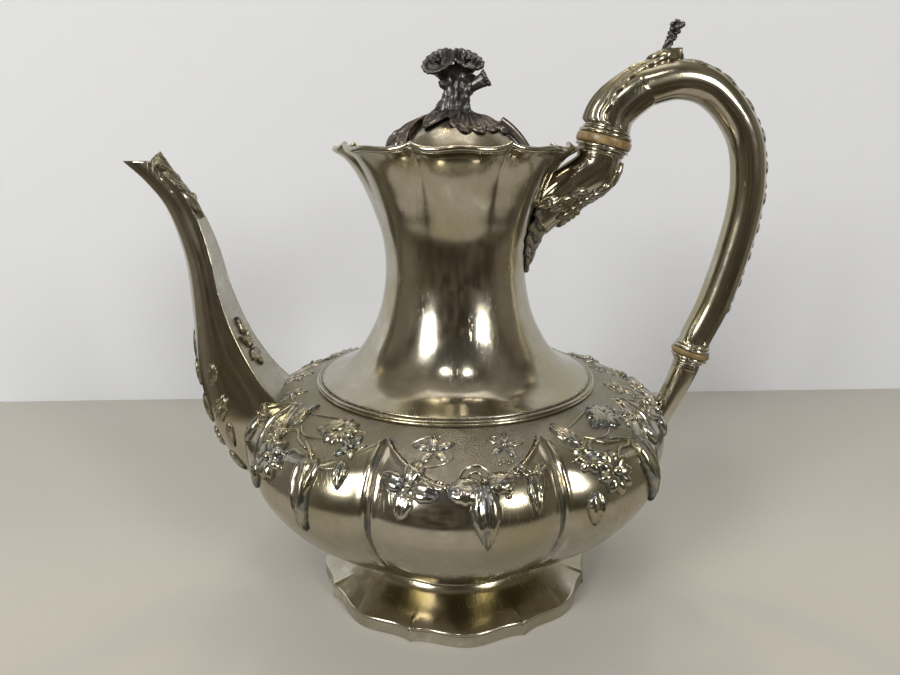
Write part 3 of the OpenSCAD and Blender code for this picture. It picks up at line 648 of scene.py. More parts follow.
def build_bowl():
    turn = np.concatenate([LOBE * (k + spread(70, 0.62) / 2) for k in range(LOBES)])
    s = np.concatenate([
        np.linspace(0, 60, 26, endpoint=False),
        np.linspace(60, 84, 24, endpoint=False),
        np.linspace(84, 117, 72, endpoint=False),
        np.linspace(117, BOWL_LENGTH, 12),
    ])
    t, s2 = np.meshgrid(turn, s)
    gap = swag_at(t) - s2                       # above zero below the festoon
    side = (1 - across(t)) * LOBE / 2 * np.pi / 180 * BOWL_R   # distance to the crease in mm
    height = relief(t, s2)
    cut = bell(side, 0.95) * ease((s2 - 6) / 12) * ease((SWAG_TOP + 1.5 - s2) / 5)
    height = height - 1.5 * cut
    bead = bell(side - 2.4, 1.0) * ease((s2 - 14) / 16) * ease((SWAG_TOP - s2) / 6)
    height = height + 0.35 * bead
    rng = np.random.default_rng(7)
    for _ in range(26):                         # shallow dents of long use
        a, b = rng.uniform(0, 360), rng.uniform(20, 85)
        away = np.mod(t - a + 180, 360) - 180
        height = height - rng.uniform(0.03, 0.09) * bell(np.hypot(away * 1.6, s2 - b), rng.uniform(4, 10))
    hollow = 0.75 * cut + 0.42 * bell(gap + 1.0, 1.4) * ease((s2 - 80) / 10)
    field = 1 - ease((gap + 2.2) / 2.0)
    shape = Shape()
    outside = on_bowl(t, s2, height)
    inside_s = np.linspace(BOWL_LENGTH - 2, 0, 14)
    ti, si = np.meshgrid(turn, inside_s)
    inside = on_bowl(ti, si, -SHEET)
    inside[-1, :, 2] = BOWL_BASE_Z + SHEET
    middle = np.zeros((1, len(turn), 3))
    bottom, floor_in = middle.copy(), middle.copy()
    bottom[..., 2] = BOWL_BASE_Z
    floor_in[..., 2] = BOWL_BASE_Z + SHEET
    rest = np.zeros((len(inside) + 2, len(turn)))
    shape.add(
        np.concatenate([bottom, outside, inside, floor_in]),
        np.concatenate([rest[:1], hollow, rest[1:]]),
        np.concatenate([rest[:1], field * ease((s2 - 84) / 6), rest[1:]]),
        wrap_cols=True,
    )
    return make_piece("bowl_shell", shape, CHASED, "pot", ["bowl"])


build_bowl()

# %% [markdown]
# ## The garland
#
# On the real pot the leaves and flowers are chased: pushed up from behind and sharpened from
# the front. Their edges are crisp and they throw small shadows. Sculpting them into the
# bowl's grid would need millions of faces, so each is its own small grid laid on the same
# surface, with its edge sunk just below the sheet.
#
# A leaf is drawn in its own flat frame: x runs along the midrib and y across it. `laid`
# turns that frame, moves it to its place on the bowl and bends it to the surface.


# %% Leaves, petals and stems on the bowl
def laid(place, x, y, height):
    """Local millimetres to the bowl: place is (angle, distance, heading), heading 0 is up."""
    degrees, s, heading = place
    up, right = turned(x, y, heading)
    s2 = s + up
    r = np.interp(s2, bowl_s, bowl_line[:, 0])
    turn = degrees + np.degrees(right / r)
    return on_bowl(turn, s2, np.where(height > 0, 1.3, 1.0) * height + relief(turn, s2))


SUNK = -0.35


def leaf(shape, put, long, wide, rise, veins=5, point=1.0, fold=0.5, bend=0.0, rows=22, cols=15, back=-0.9):
    """A veined leaf. put(x, y, height) places it; wide is half its width."""
    x = down(0, 1, rows)
    v = over(-1, 1, cols)
    half = wide * np.sin(np.pi * x ** 0.72) ** (0.75 * point) * (1 + 0.05 * np.sin(x * veins * 2 * np.pi))
    half = np.maximum(half, 0.02)
    px = long * x + 0 * v
    py = half * v + bend * long * (x * x)
    body = (1 - np.abs(v) ** 7) * np.sin(np.pi * np.clip(x, 0.015, 0.985)) ** 0.3
    pillow = rise * (0.5 + 0.5 * np.sin(np.pi * np.abs(v) ** 0.9))
    rim = 0.22 * rise * bell(np.abs(v) - 0.86, 0.10)
    rib = 0.34 * rise * bell(v * half, 0.42) * (1 - x ** 3)
    vein = np.sin(2 * np.pi * (veins * x - 0.9 * np.abs(v)))
    height = SUNK * (1 - body) + (pillow + rim + rib + 0.10 * rise * fold * vein) * body
    hollow = np.clip(0.8 * (1 - body) ** 0.7 + 0.5 * bell(np.abs(v * half) - 0.7, 0.35) + 0.15
        * (vein < -0.5) * fold, 0, 1)
    top = put(px, py, height)
    bottom = put(px, py, SUNK + (back - SUNK) * body)
    shape.pad(top, bottom, hollow)


def blossom(shape, put, radius, rise, petals, flute=0.4, dip=0.55, rings=9, cols=48, back=-0.9, scallop=0.1):
    """A round fluted flower seen from in front, with a hollow heart."""
    q = down(0, 1, rings)
    a = circle(cols)[None, :]
    edge = radius * (1 + scallop * np.cos(petals * a))
    px, py = q * edge * np.cos(a), q * edge * np.sin(a)
    body = 1 - q ** 6
    height = rise * (1 - dip * bell(q, 0.35)) * body + SUNK * (1 - body)
    height = height + flute * rise * 0.5 * q * np.cos(petals * a) * body
    hollow = np.clip(0.8 * bell(q, 0.28) + 0.7 * q ** 8 + 0.35 * q * (np.cos(petals * a) < -0.4), 0, 1)
    top = put(px, py, height)
    bottom = put(px, py, SUNK + (back - SUNK) * body)
    shape.add(np.concatenate([top, bottom[::-1]]), np.concatenate([hollow, hollow[::-1]]), wrap_cols=True)


def boss(shape, put, radius, rise, x=0.0, y=0.0, back=-0.9):
    """A small domed berry or flower heart."""
    q = down(0, 1, 6)
    a = circle(16)[None, :]
    px, py = x + q * radius * np.cos(a), y + q * radius * np.sin(a)
    dome = np.sqrt(np.clip(1 - q * q, 0, 1))
    top = put(px, py, SUNK + (rise - SUNK) * dome)
    bottom = put(px, py, SUNK + (back - SUNK) * dome)
    shape.add(np.concatenate([top, bottom[::-1]]), np.concatenate([0.9 * q**6 + 0 * a, 0 * q + 0 * a]),
        wrap_cols=True)


def star(shape, place, radius, rise, petals=5, turn=0.0, wide=0.30):
    """A flower of separate petals round a heart."""
    for k in range(petals):
        heading = place[2] + turn + 360 * k / petals

        def put(x, y, h, heading=heading):
            return laid((place[0], place[1], heading), x + 0.12 * radius, y, h)

        leaf(shape, put, radius * 0.9, radius * wide, rise, veins=3, point=0.8, rows=12, cols=9)
    boss(shape, lambda x, y, h: laid(place, x, y, h), radius * 0.17, rise * 1.35)


def stem(shape, points, radius=0.75, base=0.1, steps=8, sides=10):
    """A stem over the bowl through (angle, distance) points."""
    path = smooth_curve(points, steps)
    lift = base + relief(path[:, 0], path[:, 1])
    middle = on_bowl(path[:, 0], path[:, 1], lift)
    above = unit(on_bowl(path[:, 0], path[:, 1], lift + 1) - middle)
    along = unit(np.gradient(middle, axis=0))
    side = unit(np.cross(along, above))
    a = circle(sides)
    taper = radius * (0.55 + 0.45 * np.sin(np.pi * np.linspace(0.08, 0.92, len(path))))[:, None, None]
    rings = middle[:, None] + taper * (side[:, None] * np.cos(a)[:, None] + above[:, None]
        * np.sin(a)[:, None])
    hollow = np.clip(0.5 - 0.9 * np.sin(a), 0, 0.9)[None, :] + 0 * path[:, :1]
    shape.tube(rings, hollow)


# %% [markdown]
# Two designs take turns round the bowl, as on the real one. The first hangs a three-lobed
# leaf in the middle of the festoon, with a star flower at one side and a small pointed leaf
# at the other. The second has a long folded leaf, a fluted bloom with its bud on the
# shoulder, and a round bloom at the far side. The spout and the lower handle cover parts of
# two lobes, as they do on the real pot.


# %% Garland pieces
def garland_first(shape, at):
    def put_at(degrees, s, heading):
        return lambda x, y, h: laid((at + degrees, s, heading), x, y, h)

    star(shape, (at - 13.0, 91.5, 0), 11.5, 1.7, petals=4, turn=12, wide=0.36)
    leaf(shape, put_at(3.6, 93.5, 178), 23, 5.6, 2.2, veins=6, point=1.1)
    leaf(shape, put_at(3.2, 92, -98), 12, 5.4, 1.9, veins=4, point=0.6)
    leaf(shape, put_at(4.4, 93, 84), 11, 4.6, 1.8, veins=4, point=0.6)
    leaf(shape, put_at(15.6, 94.5, 182), 14, 3.6, 1.7, veins=5)
    leaf(shape, put_at(15.4, 94, -52), 7.5, 2.7, 1.4, veins=3, point=0.7)
    leaf(shape, put_at(16.0, 94, 60), 7, 2.7, 1.4, veins=3, point=0.7)
    boss(shape, put_at(15.7, 94.5, 0), 1.3, 2.1)
    boss(shape, put_at(4.0, 94.2, 0), 1.5, 2.5)
    for k in (-1, 0, 1):
        boss(shape, put_at(9.0 + 0.5 * k, 88.5 + 2.2 * abs(k), 0), 1.2, 1.6)
    stem(shape, [(at - 3, 92), (at - 0.5, 99.5), (at + 3.5, 101), (at + 6, 96), (at + 4.4, 91)])
    stem(shape, [(at - 1.5, 93), (at + 1, 98), (at + 3.4, 97.5), (at + 3.8, 93)], 0.6)
    stem(shape, [(at - 9, 94), (at - 6, 91.5), (at - 3, 93.6), (at + 1.5, 92.5)], 1.0)
    stem(shape, [(at - 9, 92), (at - 6, 94.5), (at - 3, 91.5), (at + 1, 94)], 0.8)
    stem(shape, [(at + 6.5, 94), (at + 9, 96.5), (at + 12.5, 95.5), (at + 15.4, 95)], 0.7)
    # low relief on the shoulder
    star(shape, (at - 8.5, 109.0, 0), 8.5, 0.75, petals=5, turn=-8, wide=0.26)
    star(shape, (at + 11.5, 110.5, 0), 7.5, 0.6, petals=5, turn=18, wide=0.24)
    for k in range(7):
        boss(shape, put_at(8.5 + 1.1 * (k % 4), 101.0 + 1.5 * (k // 4) + 0.6 * (k % 2), 0), 0.62, 0.55)
    stem(shape, [(at - 13, 104), (at - 10, 100.5), (at - 6.5, 101.5), (at - 3, 105)], 0.5, base=0.0)
    stem(shape, [(at - 15, 112), (at - 11.5, 115.5), (at - 7, 116.5)], 0.45, base=0.0)
    stem(shape, [(at + 5.5, 113), (at + 9, 115.5), (at + 14, 115)], 0.4, base=0.0)


def garland_second(shape, at):
    def put_at(degrees, s, heading):
        return lambda x, y, h: laid((at + degrees, s, heading), x, y, h)

    leaf(shape, put_at(4.0, 96, 166), 29, 4.6, 2.3, veins=7, point=1.2, bend=0.05)
    leaf(shape, put_at(7.5, 96, 184), 19, 3.5, 1.8, veins=6, point=1.0)
    stem(shape, [(at - 1.5, 101), (at + 3, 97.5), (at + 6, 93), (at + 8.5, 86)], 0.9)
    stem(shape, [(at + 2, 99), (at + 5, 95), (at + 9, 92.5), (at + 13, 93.5)], 0.7)
    blossom(shape, put_at(6.0, 110.5, 0), 7.6, 1.5, petals=11)
    leaf(shape, put_at(1.0, 106.0, 30), 12, 4.2, 1.9, veins=2, point=0.6, fold=0.3)
    leaf(shape, put_at(-3.0, 108.5, 78), 13, 2.6, 1.3, veins=5)
    stem(shape, [(at - 12, 112), (at - 6, 114.5), (at + 0, 116.5), (at + 6, 117)], 0.6, base=0.0)
    stem(shape, [(at - 9, 106), (at - 5, 103), (at - 1, 103), (at + 3, 105)], 0.6)
    blossom(shape, put_at(-8.0, 88.5, 20), 8.2, 2.2, petals=9, scallop=0.13)
    boss(shape, put_at(-8.0, 88.5, 0), 2.3, 2.6)
    blossom(shape, put_at(-13.5, 96, 0), 6.4, 1.8, petals=8, scallop=0.12)
    leaf(shape, put_at(-14.5, 84, 186), 13, 4.2, 1.9, veins=5)
    leaf(shape, put_at(-11.5, 103, -24), 14, 3.8, 1.5, veins=5)
    leaf(shape, put_at(-15.0, 106, 4), 12, 3.0, 1.2, veins=4)
    stem(shape, [(at - 16, 92), (at - 12, 99), (at - 8, 103), (at - 4, 100), (at + 1, 98)], 0.9)
    stem(shape, [(at - 5, 92), (at - 1.5, 95.5), (at + 2, 95), (at + 5, 97)], 0.9)
    star(shape, (at + 13.5, 104.5, 0), 7.0, 0.9, petals=5, turn=6)
    leaf(shape, put_at(14.5, 97, 172), 11, 3.3, 1.6, veins=4)
    for k in range(5):
        boss(shape, put_at(11.0 + 0.8 * k, 113.0 + 0.5 * (k % 2), 0), 0.6, 0.5)


def build_garlands():
    for k in range(LOBES):
        shape = Shape()
        at = -90 + LOBE * k
        if k % 2 == 0:
            garland_first(shape, at)
        else:
            garland_second(shape, at)
        make_piece(f"garland_{k + 1}", shape, CHASED, "pot")


build_garlands()

# %% [markdown]
# ## The neck, the rim and the shoulder ring
#
# The neck is spun to a waist, and its upper part is worked into eight soft panels that end
# in the wavy rim. A polished neck is judged by its reflections, and any flat facet shows in
# them, so its grid is fine and its profile is one smooth curve. The rim is a rolled wire
# with a small peak where two panels meet.

# %% Neck mesh
NECK_LOW_SHAPE = [[1, 0], [0.67, 0.09], [0.43, 0.22], [0.25, 0.39], [0.12, 0.57], [0.03, 0.79]]
NECK_TOP_SHAPE = [[0, 0], [0.05, 0.25], [0.19, 0.45], [0.36, 0.63], [0.57, 0.81], [0.8, 0.94], [1, 1]]
NECK_BASE_R = RING_R - 1
neck_line = smooth_curve(
    [[between(WAIST_R, NECK_BASE_R, x), between(NECK_BASE_Z, WAIST_Z, y)] for x, y in NECK_LOW_SHAPE]
    + [[between(WAIST_R, RIM_R, x), between(WAIST_Z, RIM_Z, y)] for x, y in NECK_TOP_SHAPE],
    9,
)


def neck_r_at(z):
    return np.interp(z, neck_line[:, 1], neck_line[:, 0])


def rim_wave(degrees):
    x = across(degrees)
    return RIM_LIFT * x**8 - 0.4 * RIM_LIFT * (1 - np.cos(2 * np.pi * x)) / 2


def on_neck(degrees, r, z):
    """A point of the neck: r and z come from the profile, the panels pinch it in."""
    pinch = RIM_PINCH * ease((z - WAIST_Z - 10) / (RIM_Z - WAIST_Z - 10)) * across(degrees) ** 2.6
    up = np.clip((z - RIM_Z + 12) / 12, 0, 1) ** 2 * rim_wave(degrees)
    t = np.radians(degrees)
    return polar(r - pinch, t, z + up)


def build_neck():
    turn = np.arange(360) * 1.0
    shape = Shape()
    outer, inner = neck_line, neck_line[::-3].copy()
    inner[:, 0] -= SHEET
    t, r = np.meshgrid(turn, np.concatenate([outer[:, 0], inner[:, 0]]))
    z = np.concatenate([outer[:, 1], inner[:, 1]])[:, None] + 0 * t
    low = bell(z - NECK_BASE_Z, 1.6)
    shape.skin(on_neck(t, r, z), 0.5 * low)
    make_piece("neck_shell", shape, POLISHED, "pot", ["neck"])


def build_rim():
    turn = np.arange(720) * 0.5
    wire_r = 1.15
    a = circle(14)[:, None]
    x = across(turn)
    r = RIM_R - 0.15 - RIM_PINCH * x**2.6
    z = RIM_Z + rim_wave(turn) + wire_r
    t = np.radians(turn)
    q = r + wire_r * np.cos(a)
    grid = polar(q, t, z + wire_r * np.sin(a))
    shape = Shape()
    shape.skin(grid, 0.35 * (np.cos(a) < -0.5) + 0 * t)
    make_piece("rim_roll", shape, POLISHED, "pot", ["rim_wire"])


def build_ring():
    arc = np.radians(np.linspace(-80, 100, 9))
    low = np.stack([RING_R + 0.55 + 0.62 * np.cos(arc), RING_Z - 0.5 + 0.6 * np.sin(arc)], -1)
    arc = np.radians(np.linspace(-70, 110, 9))
    high = np.stack([RING_R + 0.15 + 0.62 * np.cos(arc), RING_Z + 0.55 + 0.55 * np.sin(arc)], -1)
    inner = np.array([[RING_R - 2.2, RING_Z + 1.1], [RING_R - 2.2, RING_Z - 1.1]])
    outline = np.vstack([low, high, inner])
    hollow = np.zeros(len(outline))
    hollow[[0, 8, 9, 17]] = 0.75
    shape = Shape()
    shape.skin(lathe(outline, 320), hollow[:, None] + np.zeros(320))
    make_piece("ring_wires", shape, POLISHED, "pot", ["shoulder_ring"])


build_neck()
build_rim()
build_ring()

# %% [markdown]
# ## The foot
#
# The foot spreads in a hollow curve from a short stem to a flat edge with eight sides. Each
# side is drawn like a brace: it swells in the middle and runs back to a sharp corner. A thin
# upright band follows the same line, so both use one function for the edge.

# %% Foot meshes
APRON_H = box_mm("foot_apron")[1][2]
FOOT_R = 64.4
FOOT_DIP = 2.6
FOOT_TURN = 2.5
FOOT_TOP_Z = box_mm("foot")[1][2]
FOOT_SHAPE = [[0, 1], [-0.03, 0.82], [0, 0.62], [0.13, 0.42], [0.35, 0.27], [0.65, 0.14], [1, 0]]


def foot_edge(degrees):
    x = across(degrees - FOOT_TURN)
    return FOOT_R - FOOT_DIP * ease(x / 0.75) + 0.6 * FOOT_DIP * x**8


def foot_turns():
    """Angles round the foot, close together at the eight corners."""
    return np.concatenate([FOOT_TURN + LOBE * (k + spread(48, 0.6) / 2) for k in range(LOBES)])


def build_foot():
    turn = foot_turns()
    line = smooth_curve(FOOT_SHAPE, 10)
    t, x = np.meshgrid(turn, line[:, 0])
    y = line[:, 1][:, None] + 0 * t
    edge = between(FOOT_R, foot_edge(t), ease(x))
    r = between(BOWL_BASE_R - 1, edge, x)
    base_z = APRON_H + 0.05
    z = between(base_z + SHEET, FOOT_TOP_Z, y)
    ridge = 0.35 * bell((1 - across(t - FOOT_TURN)) * 22, 1.0) * ease((x - 0.55) / 0.4)
    a = np.radians(t)
    top = polar(r, a, z + ridge)
    under_r = np.where(x < 0.3, r - SHEET, r)
    under_z = np.where(x < 0.3, z, z - SHEET)
    under = polar(under_r, a, under_z)[::-1]
    hollow = 0.6 * bell(y - 1, 0.06) + 0.35 * bell(x - 1, 0.02)
    shape = Shape()
    shape.skin(np.concatenate([top, under]), np.concatenate([hollow, 0 * hollow]))
    make_piece("foot_shell", shape, POLISHED, "pot", ["foot"])


def build_apron():
    turn = foot_turns()
    heights = np.array([0, 0.3, 1.2, 2.4, 3.6, APRON_H - 0.5, APRON_H - 0.1, APRON_H])
    flare = np.array([-0.2, 0, -0.05, -0.15, -0.28, -0.4, -0.5, -0.8])
    t, z = np.meshgrid(turn, np.concatenate([heights, [APRON_H, 0]]))
    off = np.concatenate([flare, [-1.6, -1.2]])[:, None]
    corner = bell((1 - across(t - FOOT_TURN)) * 22, 0.55) * (off > -0.6)
    r = foot_edge(t) + off + 0.3 * corner
    a = np.radians(t)
    shape = Shape()
    hollow = 0.55 * bell(z, 0.5) + 0.4 * bell(z - APRON_H, 0.3)
    shape.skin(polar(r, a, z), hollow)
    make_piece("foot_band", shape, POLISHED, "pot", ["foot_apron"])


def build_foot_collar():
    low, high = box_mm("foot_collar")
    arc = np.radians(np.linspace(-75, 75, 13))
    half = (high[2] - low[2]) / 2
    middle = (high[2] + low[2]) / 2
    bulge = np.stack([BOWL_BASE_R + (half - 0.1) * np.cos(arc), middle + (half - 0.05) * np.sin(arc)], -1)
    inner = np.array([[BOWL_BASE_R - 4, high[2]], [BOWL_BASE_R - 4, low[2]]])
    outline = np.vstack([[[BOWL_BASE_R, low[2]]], bulge, [[BOWL_BASE_R, high[2]]], inner])
    shape = Shape()
    hollow = np.zeros(len(outline))
    hollow[[0, 1, 13, 14]] = 0.9
    shape.skin(lathe(outline, 256), hollow[:, None] + np.zeros(256))
    make_piece("foot_bead", shape, POLISHED, "pot", ["foot_collar"])


build_foot()
build_apron()
build_foot_collar()

# %% [markdown]
# ## The spout
#
# The spout is made of two sheets: a deep trough for the front and the flanks, and a flat
# strip that closes its back. Where they meet there is a sharp ridge, which catches the
# light all the way up. So the section has its own outline, with points close together at
# the two ridges, and the outline is carried along stations from the root to the tip.

# %% Spout mesh
spout_low, spout_high = box_mm("spout")
SPOUT_REACH = 45.0       # the stations below are drawn for this reach
SPOUT_UNIT = (-spout_low[0] - BOWL_R) / SPOUT_REACH
SPOUT_SHEET = 1.1
SECTION_FRONT = 34       # the section's point in the middle of the front
TIP_RISE = 4.2           # how far the tip leaf lifts off
SPOUT_TIP_Z = spout_high[2]
SPOUT_ROOT_Z = 36.0
SPOUT_ROOT_W = 19.0
# front edge out from the bowl and share of the height, the same for the back edge, width share
SPOUT_STATIONS = [
    [-14, 0, -20, 0.33, 1], [7, 0.135, -10.5, 0.4, 0.87], [17, 0.27, -3, 0.48, 0.73],
    [21, 0.415, 2.7, 0.565, 0.64], [21.3, 0.59, 7, 0.66, 0.55], [22.5, 0.74, 9.8, 0.76, 0.44],
    [28, 0.87, 14.8, 0.86, 0.32], [36, 0.945, 22.5, 0.937, 0.26], [45, 1, 32.5, 1, 0.215],
]
spout_line = smooth_curve(SPOUT_STATIONS, 14)


def spout_edges(s):
    front = np.stack([-BOWL_R - s[..., 0] * SPOUT_UNIT, between(SPOUT_ROOT_Z, SPOUT_TIP_Z, s[..., 1])], -1)
    back = np.stack([-BOWL_R - s[..., 2] * SPOUT_UNIT, between(SPOUT_ROOT_Z, SPOUT_TIP_Z, s[..., 3])], -1)
    return front, back


def spout_section():
    """Round the section once: share of the half width, share of the way from back to front."""
    flat = [[v, 0.012 * (1 - v * v)] for v in np.linspace(-0.93, 0.93, 11)]
    ridge_right = [[0.97, -0.004], [0.985, 0.012], [0.99, 0.035]]
    b = np.radians(180 * np.linspace(0.02, 0.98, 40))
    side = np.stack([1.05 * np.cos(b) * (1 - 0.1 * np.sin(b) ** 3), 0.05 + 0.95 * np.sin(b) ** 0.8], -1)
    ridge_left = [[-0.99, 0.035], [-0.985, 0.012], [-0.97, -0.004]]
    return np.array(flat + ridge_right + side.tolist() + ridge_left)


def spout_grid(inset, line):
    front, back = spout_edges(line)
    depth = np.linalg.norm(front - back, axis=-1)
    way = (front - back) / depth[:, None]
    q = spout_section()
    d = inset + q[None, :, 1] * (depth[:, None] - 2 * inset)
    wide = (SPOUT_ROOT_W * line[:, 4] - inset)[:, None] * q[None, :, 0]
    return np.stack([back[:, :1] + way[:, :1] * d, wide, back[:, 1:] + way[:, 1:] * d], -1)


def build_spout():
    outer, inner = spout_grid(0.0, spout_line), spout_grid(SPOUT_SHEET, spout_line)[::-2]
    q = spout_section()
    hollow = np.zeros(outer.shape[:2])
    near_root = ease((20 - np.arange(len(spout_line))) / 16)[:, None]
    hollow = hollow + 0.25 * near_root * (q[None, :, 1] < 0.05)
    matt = 0.55 * (q[None, :, 1] < 0.013) * (np.abs(q[None, :, 0]) < 0.95) + np.zeros(outer.shape[:2])
    shape = Shape()
    zero = np.zeros(inner.shape[:2])
    shape.skin(np.concatenate([outer, inner]), np.concatenate([hollow, zero]), np.concatenate([matt, zero]))
    make_piece("spout_sheet", shape, POLISHED, "pot", ["spout"])


build_spout()

# %% [markdown]
# The ornaments of the spout lie on its surface, as the garland lies on the bowl. `on_spout`
# takes a station, an angle round the section and a height. A ribbed leaf curls up over the
# tip, a sprig lies where the back meets the bowl, and six small rosettes and a few leaves
# sit on the flanks and under the front.


# %% Spout ornaments
spout_skin = spout_grid(0.0, spout_line)
spout_front_mid, spout_back_mid = spout_edges(spout_line)
spout_axis = (spout_front_mid + spout_back_mid) / 2
axis_s = arc_lengths(spout_axis)


def on_spout(s, share, height):
    """s is millimetres along the spout, share is -1..1 round one flank from back to front."""
    rows, cols = spout_skin.shape[:2]
    row = np.interp(s, axis_s, np.arange(rows))
    col = np.mod(share * cols, cols)
    i0 = np.clip(np.floor(row).astype(int), 0, rows - 2)
    j0 = np.floor(col).astype(int) % cols
    u, v = (row - i0)[..., None], (col - np.floor(col))[..., None]
    j1 = (j0 + 1) % cols
    a = spout_skin[i0, j0] * (1 - v) + spout_skin[i0, j1] * v
    b = spout_skin[i0 + 1, j0] * (1 - v) + spout_skin[i0 + 1, j1] * v
    point = a * (1 - u) + b * u
    along = unit(b - a)
    round_ = unit(spout_skin[i0, j1] - spout_skin[i0, j0])
    out = unit(np.cross(round_, along))
    middle = np.stack([np.interp(s, axis_s, spout_axis[:, 0]), 0 * s,
        np.interp(s, axis_s, spout_axis[:, 1])], -1)
    out = out * np.sign(np.sum(out * (point - middle), -1, keepdims=True))
    return point + out * np.asarray(height)[..., None]


def back_frame(s):
    """Middle of the flat back at s, and the direction along it."""
    x = np.interp(s, axis_s, spout_back_mid[:, 0])
    z = np.interp(s, axis_s, spout_back_mid[:, 1])
    way = np.stack([np.interp(s, axis_s, np.gradient(spout_back_mid[:, 0])),
                    np.interp(s, axis_s, np.gradient(spout_back_mid[:, 1]))], -1)
    way = unit(way)
    return x, z, way


def on_back(s, y, height):
    x, z, way = back_frame(s)
    out = np.stack([way[..., 1], -way[..., 0]], -1)
    return np.stack([x + out[..., 0] * height, y + 0 * x, z + out[..., 1] * height], -1)


def build_tip_leaf():
    total = axis_s[-1]
    start, end = total - 30, total + 3.5
    shape = Shape()
    x = down(0, 1, 34)
    v = over(-1, 1, 17)
    half = 5.7 * np.sin(np.pi * (0.06 + 0.9 * x ** 0.8)) ** 0.6 * (1 + 0.09
        * np.sin(2 * np.pi * 5 * x + 1.4 * np.abs(v)))
    half = half * np.sqrt(np.clip((1.02 - x) / 0.16, 0.05, 1))
    s = between(start, end, x) + 1.2 * np.abs(v)
    lift = 0.1 + TIP_RISE * ease((x - 0.45) / 0.55) ** 1.4
    body = 1 - np.abs(v) ** 4
    crest = 1.9 * (0.5 + 0.5 * (1 - v * v)) * np.sin(np.pi * np.clip(x, 0.03, 0.97)) ** 0.4
    vein = np.sin(2 * np.pi * (5.5 * x - 1.1 * np.abs(v)))
    height = lift + crest * body + 0.38 * vein * body * (np.abs(v) > 0.1) + 0.5 * bell(v, 0.12) * body
    hollow = np.clip(0.65 * (1 - body) + 0.6 * (vein < -0.2) * body + 0.3 * bell(np.abs(v) - 0.22, 0.1), 0, 1)
    droop = 3.6 * np.abs(v) ** 2.4 * ease((1 - x) / 0.4 + 0.3)
    top = on_back(s, v * half, height - droop)
    bottom = on_back(s, v * half, lift - 0.55 * body - droop)
    shape.pad(top, bottom, hollow)
    for k in range(5):
        where = start + 2.5 + 5.0 * k

        def put(a, b, h, where=where, k=k):
            side = 1 if k % 2 else -1
            lean = 0.75
            up = TIP_RISE * ease((between(0, 1, (where - start) / (end - start)) - 0.45) / 0.55) ** 1.4
            return on_back(where + a * math.cos(lean) + 0 * b, side * (1.2 + a * math.sin(lean)) + b,
                h + 0.6 + up)

        leaf(shape, put, 6.0, 1.7, 1.5, veins=3, point=0.8, rows=12, cols=9, back=-0.6)
    make_piece("tip_leaf", shape, CAST, "pot", ["spout_tip_leaf"])


def build_back_sprig():
    low, high = box_mm("spout_back_sprig")
    middle = np.interp((low[2] + high[2]) / 2, spout_back_mid[:, 1], axis_s)
    shape = Shape()

    def put_at(ds, dy, heading):
        def put(x, y, h):
            along, aside = turned(x, y, heading)
            return on_back(middle + ds + along, dy + aside, h)

        return put

    leaf(shape, put_at(2, 0, 4), 11, 2.6, 1.7, veins=4)
    leaf(shape, put_at(-3, 0.5, 48), 8, 2.3, 1.6, veins=3, point=0.7)
    leaf(shape, put_at(-3, -0.5, -48), 8, 2.3, 1.6, veins=3, point=0.7)
    leaf(shape, put_at(-8, 1.0, 140), 7, 2.2, 1.4, veins=3, point=0.7)
    leaf(shape, put_at(-8, -1.0, -140), 7, 2.2, 1.4, veins=3, point=0.7)
    leaf(shape, put_at(-7, 0, 178), 12, 2.2, 1.5, veins=4)
    blossom(shape, put_at(-3.5, 0, 0), 3.1, 1.9, petals=6, rings=7, cols=30)
    boss(shape, put_at(-3.5, 0, 0), 1.0, 2.2)
    make_piece("back_sprig", shape, CAST, "pot", ["spout_back_sprig"])


def build_spout_garland():
    shape = Shape()
    cols = spout_skin.shape[1]

    def put_at(s0, share, heading):
        girth = 95 - 0.35 * s0

        def put(x, y, h):
            along, aside = turned(x, y, heading)
            return on_spout(s0 + along, share + aside / girth, h)

        return put

    front = SECTION_FRONT / cols
    for flip in (-1, 1):
        leaf(shape, put_at(48, front + flip * 0.225, 8 * flip), 9, 2.8, 1.5, veins=4)
        blossom(shape, put_at(39, front + flip * 0.205, 0), 4.4, 1.6, petals=7, rings=8, cols=36)
        boss(shape, put_at(39, front + flip * 0.205, 0), 1.4, 2.0)
        leaf(shape, put_at(33, front + flip * 0.2, 200 * flip), 9, 2.6, 1.3, veins=4)
        leaf(shape, put_at(40, front + flip * 0.06, 10 * flip), 12, 2.9, 1.6, veins=5)
        leaf(shape, put_at(55, front + flip * 0.05, -8 * flip), 11, 2.4, 1.4, veins=5)
        leaf(shape, put_at(27, front + flip * 0.07, 170 * flip), 10, 3.0, 1.6, veins=4)
    blossom(shape, put_at(34, front, 0), 4.6, 1.8, petals=8, rings=8, cols=36)
    boss(shape, put_at(34, front, 0), 1.5, 2.2)
    leaf(shape, put_at(64, front, 0), 12, 2.2, 1.3, veins=5)
    blossom(shape, put_at(22, front, 0), 3.6, 1.5, petals=7, rings=7, cols=30)
    make_piece("spout_garland", shape, CAST, "pot", ["spout_rosettes"])


build_tip_leaf()
build_back_sprig()
build_spout_garland()

# %% [markdown]
# ## The handle
#
# The handle is a hollow tube on two joints. Each joint is a ring of bone between two moulded
# collars, and keeps the heat of the coffee from the hand. Two small pins go through the
# sleeves at each joint. A collar is turned, so it is an outline spun round the joint's axis.

# %% Joints of the handle
def joint_frame(node, tilt):
    low, high = box_mm(node)
    middle = (low + high) / 2
    a = math.radians(tilt)
    out, up = np.array([math.cos(a), 0, -math.sin(a)]), np.array([math.sin(a), 0, math.cos(a)])
    return middle, out, up


